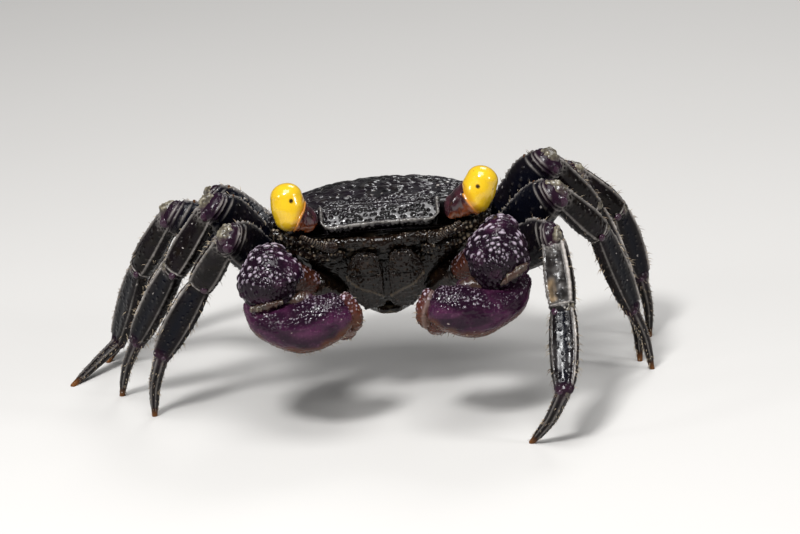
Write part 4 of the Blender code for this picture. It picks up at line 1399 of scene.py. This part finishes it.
def carpus(path, up, hand, wear_and_shine):
    """The second length, with a flat speckled face between two fine ridges and a wrinkled near end."""
    form = tube(path, CARPUS, up, LEG_FINE, ends=(0.7, 0.5), hand=hand)
    neck = 1 - step_up(form.along, -0.1, 0.2)
    form.lift(-0.22 * neck)
    across = np.degrees(np.arcsin(np.clip(np.sin(form.angle), -1, 1)))
    panel = step_up(np.cos(form.angle), 0.0, 0.15)
    panel = panel * step_up(across, -46, -38) * (1 - step_up(across, 46, 54))
    form.lift(-0.06 * panel)
    # Pale along the ridges, on the end rim and on the wrinkled net is painted highlight, wider and stronger
    # on the outer ridge of a worn leg
    for angle, width, height, pale in [(56, 4 + 3 * wear_and_shine, 0.13, 0.5 + 0.3 * wear_and_shine)] + CARPUS_RIDGES:
        keel = form.ridge(angle, width, height, 0.05, 0.97, grains=0.3)
        form.mark("pale", pale * keel * (0.75 + 0.25 * waves(form.points, 0.6, 7)))
    rim = line(form.along, 0.95 + 0.02 * np.cos(form.angle) ** 2, 0.016)
    form.lift(0.07 * rim)
    form.mark("pale", 0.45 * rim * granules(form.points, 0.3, 0.7, 4))
    net = network(form.points, 0.34, 0.2, 8)
    net = net * step_up(form.along, -0.05, 0.05) * (1 - step_up(form.along, 0.1, 0.3))
    form.lift(0.07 * net)
    form.mark("pale", 0.3 * net)
    leg_grains(form, 0.4, 0.05)
    mottled = step_up(waves(form.points, 0.8, 15) + 0.6 * waves(form.points, 0.3, 16), -0.3, 0.7)
    form.mark("grey", wear_and_shine * panel * (0.15 + 0.75 * mottled))
    tan = step_up(form.along, 0.55, 0.7) * (1 - step_up(form.along, 0.86, 0.94)) * step_up(-across, -5, 20)
    form.mark("tan", step_up(wear_and_shine, 0.5, 1.0) * tan * panel * (0.2 + 0.7 * mottled))
    form.mark("purple", 0.5 * neck)
    return [form]


def propodus(path, up, hand, wear_and_shine):
    """The third length, with a highlight painted along the ridge at its outer edge, and a purple end."""
    form = tube(path, PROPODUS, up, LEG_FINE, ends=(0.5, 0.5), hand=hand)
    # Pale along the ridges and on the near rim's grains is painted highlight
    for angle, width, height, pale in PROPODUS_RIDGES:
        keel = form.ridge(angle, width, height, 0.03, 0.95, grains=0.35)
        form.mark("pale", pale * keel * (0.6 + 0.4 * waves(form.points, 0.7, 3)))
    form.mark("blue", form.ridge(8, 28, -0.15, 0.05, 0.95))
    form.mark("pale", 0.35 * line(form.along, 0.02, 0.012) * granules(form.points, 0.3, 0.7, 4))
    leg_grains(form, 0.36, 0.045)
    mottled = patches(form.points, 0.9, 17, -0.2, 0.6)
    form.mark("grey", 0.2 * wear_and_shine * mottled * step_up(np.cos(form.angle), 0.2, 0.6))
    form.mark("purple", 0.6 * step_up(form.along, 0.84, 1.0))
    return [form]


def dactylus(path, up, hand, _):
    """The claw-like last length, grooved along and amber at its tip."""
    form = tube(path, DACTYLUS, up, TIP_FINE, ends=(0.8, 0.5), hand=hand)
    # Pale along its ridges is painted highlight
    for angle in DACTYLUS_RIDGES:
        form.mark("pale", 0.2 * form.ridge(angle, 9, 0.06, 0.0, 0.85, grains=0.3))
    leg_grains(form, 0.22, 0.03, 1 - step_up(form.along, 0.7, 0.8))
    form.mark("purple", 0.4 * (1 - step_up(form.along, 0.0, 0.25)))
    form.mark("amber", step_up(form.along, 0.78, 0.97))
    form.points[..., 2] = np.maximum(form.points[..., 2], 0.0)
    return [form]


SEGMENTS = {"merus": merus, "carpus": carpus, "propodus": propodus, "dactylus": dactylus}

# The three knees, from the body outwards: half sizes of the skin along, over and through, how cream it
# is, and the radius of the knuckles, which lie below the middle
KNEE_SKIN = {1: (0.75, 0.95, 0.72), 2: (0.6, 0.85, 0.68), 3: (0.4, 0.42, 0.42)}
KNEE_CREAM = {1: 0.9, 2: 0.5, 3: 0.15}
KNUCKLE = {1: 0.4, 2: 0.28, 3: 0.2}
KNUCKLE_DROP = 0.45


def knee(joints, planes, k):
    """The soft skin at a joint, knobbly and cream on top, with the two round knuckles it turns on."""
    before = (joints[k] - joints[k - 1]).normalized()
    after = (joints[k + 1] - joints[k]).normalized()
    way = (before + after).normalized()
    across = planes[k].normalized()
    over = across.cross(way).normalized()
    _, over_half, through_half = KNEE_SKIN[k]
    centre = joints[k] + 0.1 * over
    skin = ball(centre, KNEE_SKIN[k], (way, over, across), KNEE_FINE)
    upper = step_up((skin.points - np.array(centre)) @ np.array(over), 0.0, 0.5 * over_half)
    knobs = granules(skin.points, 0.3, 0.5, 95)
    skin.lift(0.08 * waves(skin.points, 0.45, 91) + 0.1 * knobs * upper)
    skin.mark("pale", KNEE_CREAM[k] * upper * (0.1 + 0.8 * knobs))
    skin.mark("purple", 0.8 * (1 - upper))
    forms = [skin]
    for hand in (1, -1):
        place = joints[k] + hand * across * (through_half + 0.02) - KNUCKLE_DROP * over_half * over
        sizes = (KNUCKLE[k], KNUCKLE[k], 0.6 * KNUCKLE[k])
        knuckle = ball(place, sizes, (way, over, across), LEG_FINE)
        knuckle.lift(0.02 * waves(knuckle.points, 0.3, 97))
        knuckle.mark("purple", 1.0)
        forms.append(knuckle)
    return forms


# A bristle: its half width, how deep its root sits, the three corners of its root, and its faces
SETA_HALF = 0.028
SETA_SUNK = 0.05
SETA_TURNS = (0.0, 2 * math.pi / 3, 4 * math.pi / 3)
SETA_FACES = np.array([(0, 2, 1)] + [
    face
    for i, j in ((0, 1), (1, 2), (2, 0))
    for face in ((i, j, j + 3), (i, j + 3, i + 3), (i + 3, j + 3, 6))
])

# Its patch of the map, the number of tiles to a side of the map, the size of a patch, and a tile's margin
SETA_PATCH = np.array([
    (-0.5, -0.5),
    (0.5, -0.5),
    (0.5, 0.0),
    (-0.5, 0.0),
    (0.0, 0.2),
    (0.3, 0.3),
    (0.0, 0.5),
])
MAP_TILES = 8
MAP_PATCH = 0.003
MAP_MARGIN = 0.06


def unit(vectors):
    return vectors / np.linalg.norm(vectors, axis=1, keepdims=True)


class Coat:
    """Bristles sown on forms, kept as one mesh. Each lies in a small patch of a map of its form's skin."""

    def __init__(self):
        self.points, self.places, self.hosts = [], [], 0

    def sow(self, form, angle, spread, count, length, lean=0.4, salt=0):
        """Sows bristles about an angle round a form, leaning along it, at random but the same each time."""
        draw = np.random.default_rng(1000 * self.hosts + salt)
        lengthwise = np.gradient(form.points, axis=0)
        around = np.roll(form.points, -1, 1) - form.points
        chance = line(form.turn_from(angle), 0, spread)
        chance = chance * np.linalg.norm(np.cross(lengthwise, around), axis=-1)
        chance = (chance * (form.along > 0.02) * (form.along < 0.98)).reshape(-1)
        picked = draw.choice(len(chance), count, replace=False, p=chance / chance.sum())
        normals, lengthwise = (v.reshape(-1, 3)[picked] for v in (form.normals(), lengthwise))
        lengthwise = unit(lengthwise)
        way = unit(normals + lean * lengthwise + 0.25 * draw.normal(size=(count, 3)))
        side = unit(np.cross(way, lengthwise + 0.1))
        other = np.cross(way, side)
        long = (length * draw.uniform(0.6, 1.2, count))[:, None]
        root = form.points.reshape(-1, 3)[picked] - SETA_SUNK * way
        middle = root + 0.55 * long * way
        tip = root + long * way + 0.22 * long * lengthwise
        corners = []
        for centre, radius in ((root, SETA_HALF), (middle, 0.7 * SETA_HALF)):
            for turn in SETA_TURNS:
                corners.append(centre + radius * (math.cos(turn) * side + math.sin(turn) * other))
        bristles = np.stack(corners + [tip], 1)
        bristles[..., 2] = np.maximum(bristles[..., 2], 0.0)
        self.points.append(bristles)
        tile = np.array((self.hosts % MAP_TILES, self.hosts // MAP_TILES))
        spot = [form.angle.reshape(-1)[picked] / (2 * math.pi), form.along.reshape(-1)[picked]]
        inside = MAP_MARGIN + (1 - 2 * MAP_MARGIN) * np.stack(spot, -1)
        self.places.append((tile + inside) / MAP_TILES)

    def next_host(self):
        self.hosts += 1

    def to_object(self, name, material, slot):
        points, places = np.concatenate(self.points), np.concatenate(self.places)
        start = len(SETA_PATCH) * np.arange(len(points))[:, None, None]
        faces = (start + SETA_FACES).reshape(-1, 3)
        mesh = filled_mesh(name, points.reshape(-1, 3) * MM, [faces])
        where = (places[:, None] + MAP_PATCH * SETA_PATCH).reshape(-1, 2)
        corners = np.empty(len(mesh.loops), np.int32)
        mesh.loops.foreach_get("vertex_index", corners)
        mesh.uv_layers.new(name="OFBake").data.foreach_set("uv", where[corners].reshape(-1))
        on_crab(name, mesh, material)


# Bristles on each length of a leg: angle round it, spread in degrees, count, length and lean
BRISTLES = {
    "merus": [(90, 18, 16, 0.45, 0.5), (-90, 25, 8, 0.35, 0.5)],
    "carpus": [(90, 30, 16, 0.45, 0.5), (56, 4, 6, 0.25, 0.5), (-90, 30, 8, 0.4, 0.5)],
    "propodus": [(90, 25, 26, 0.5, 0.6), (-90, 30, 30, 0.5, 0.6), (62, 4, 8, 0.3, 0.5)],
    "dactylus": [(90, 50, 60, 0.24, 0.9), (-90, 50, 60, 0.24, 0.9)],
}


def leg(name, pair, materials, coat):
    joints, planes = leg_joints(name, pair)
    skins = [form for k in KNEE_SKIN for form in knee(joints, planes, k)]
    to_object(f"leg{pair}_{name}_joints", skins, materials["membrane"], [])
    for k, (segment, shape) in enumerate(SEGMENTS.items()):
        start, end = joints[k], joints[k + 1]
        way = (end - start).normalized()
        up = planes[k].cross(way)
        if segment == "merus":
            start = start + way * COXA_REACH
        path = [start, (start + end) / 2, end]
        if segment == "dactylus":
            path[1] = path[1] + DACTYLUS_ARCH * up
        forms = shape(path, up, SIDES[name], WEAR_AND_RIDGE_SHINE.get((name, pair), 0.0))
        for salt, bristles in enumerate(BRISTLES[segment]):
            coat.sow(forms[0], *bristles, salt)
        coat.next_host()
        node = f"leg{pair}_{name}_{segment}"
        to_object(f"{node}_shell", forms, materials["leg"], [node])


def main():
    materials = {
        "shell": shell_finish(),
        "leg": leg_finish(),
        "claw": claw_finish(),
        "underside": underside_finish(),
        "stalk": stalk_finish(),
        "eye": eye_finish(),
        "membrane": membrane_finish(),
    }
    for node, made in frame["nodes"].items():
        slot = next(s["material_slot"] for s in frame["record"]["subparts"] if s["node"] == node)
        made.data.materials.clear()
        made.data.materials.append(materials[slot])
    bristle = seta_finish()
    carapace(materials)
    underbody(materials)
    abdomen(materials)
    mouthparts(materials)
    for name in SIDES:
        coat = Coat()
        eye(name, materials)
        claw(name, materials, coat)
        for pair in ROOTS:
            leg(name, pair, materials, coat)
        coat.to_object(f"setae_{name}", bristle, "leg")
    scene_light()
    scene_floor()
    scene_camera()


main()
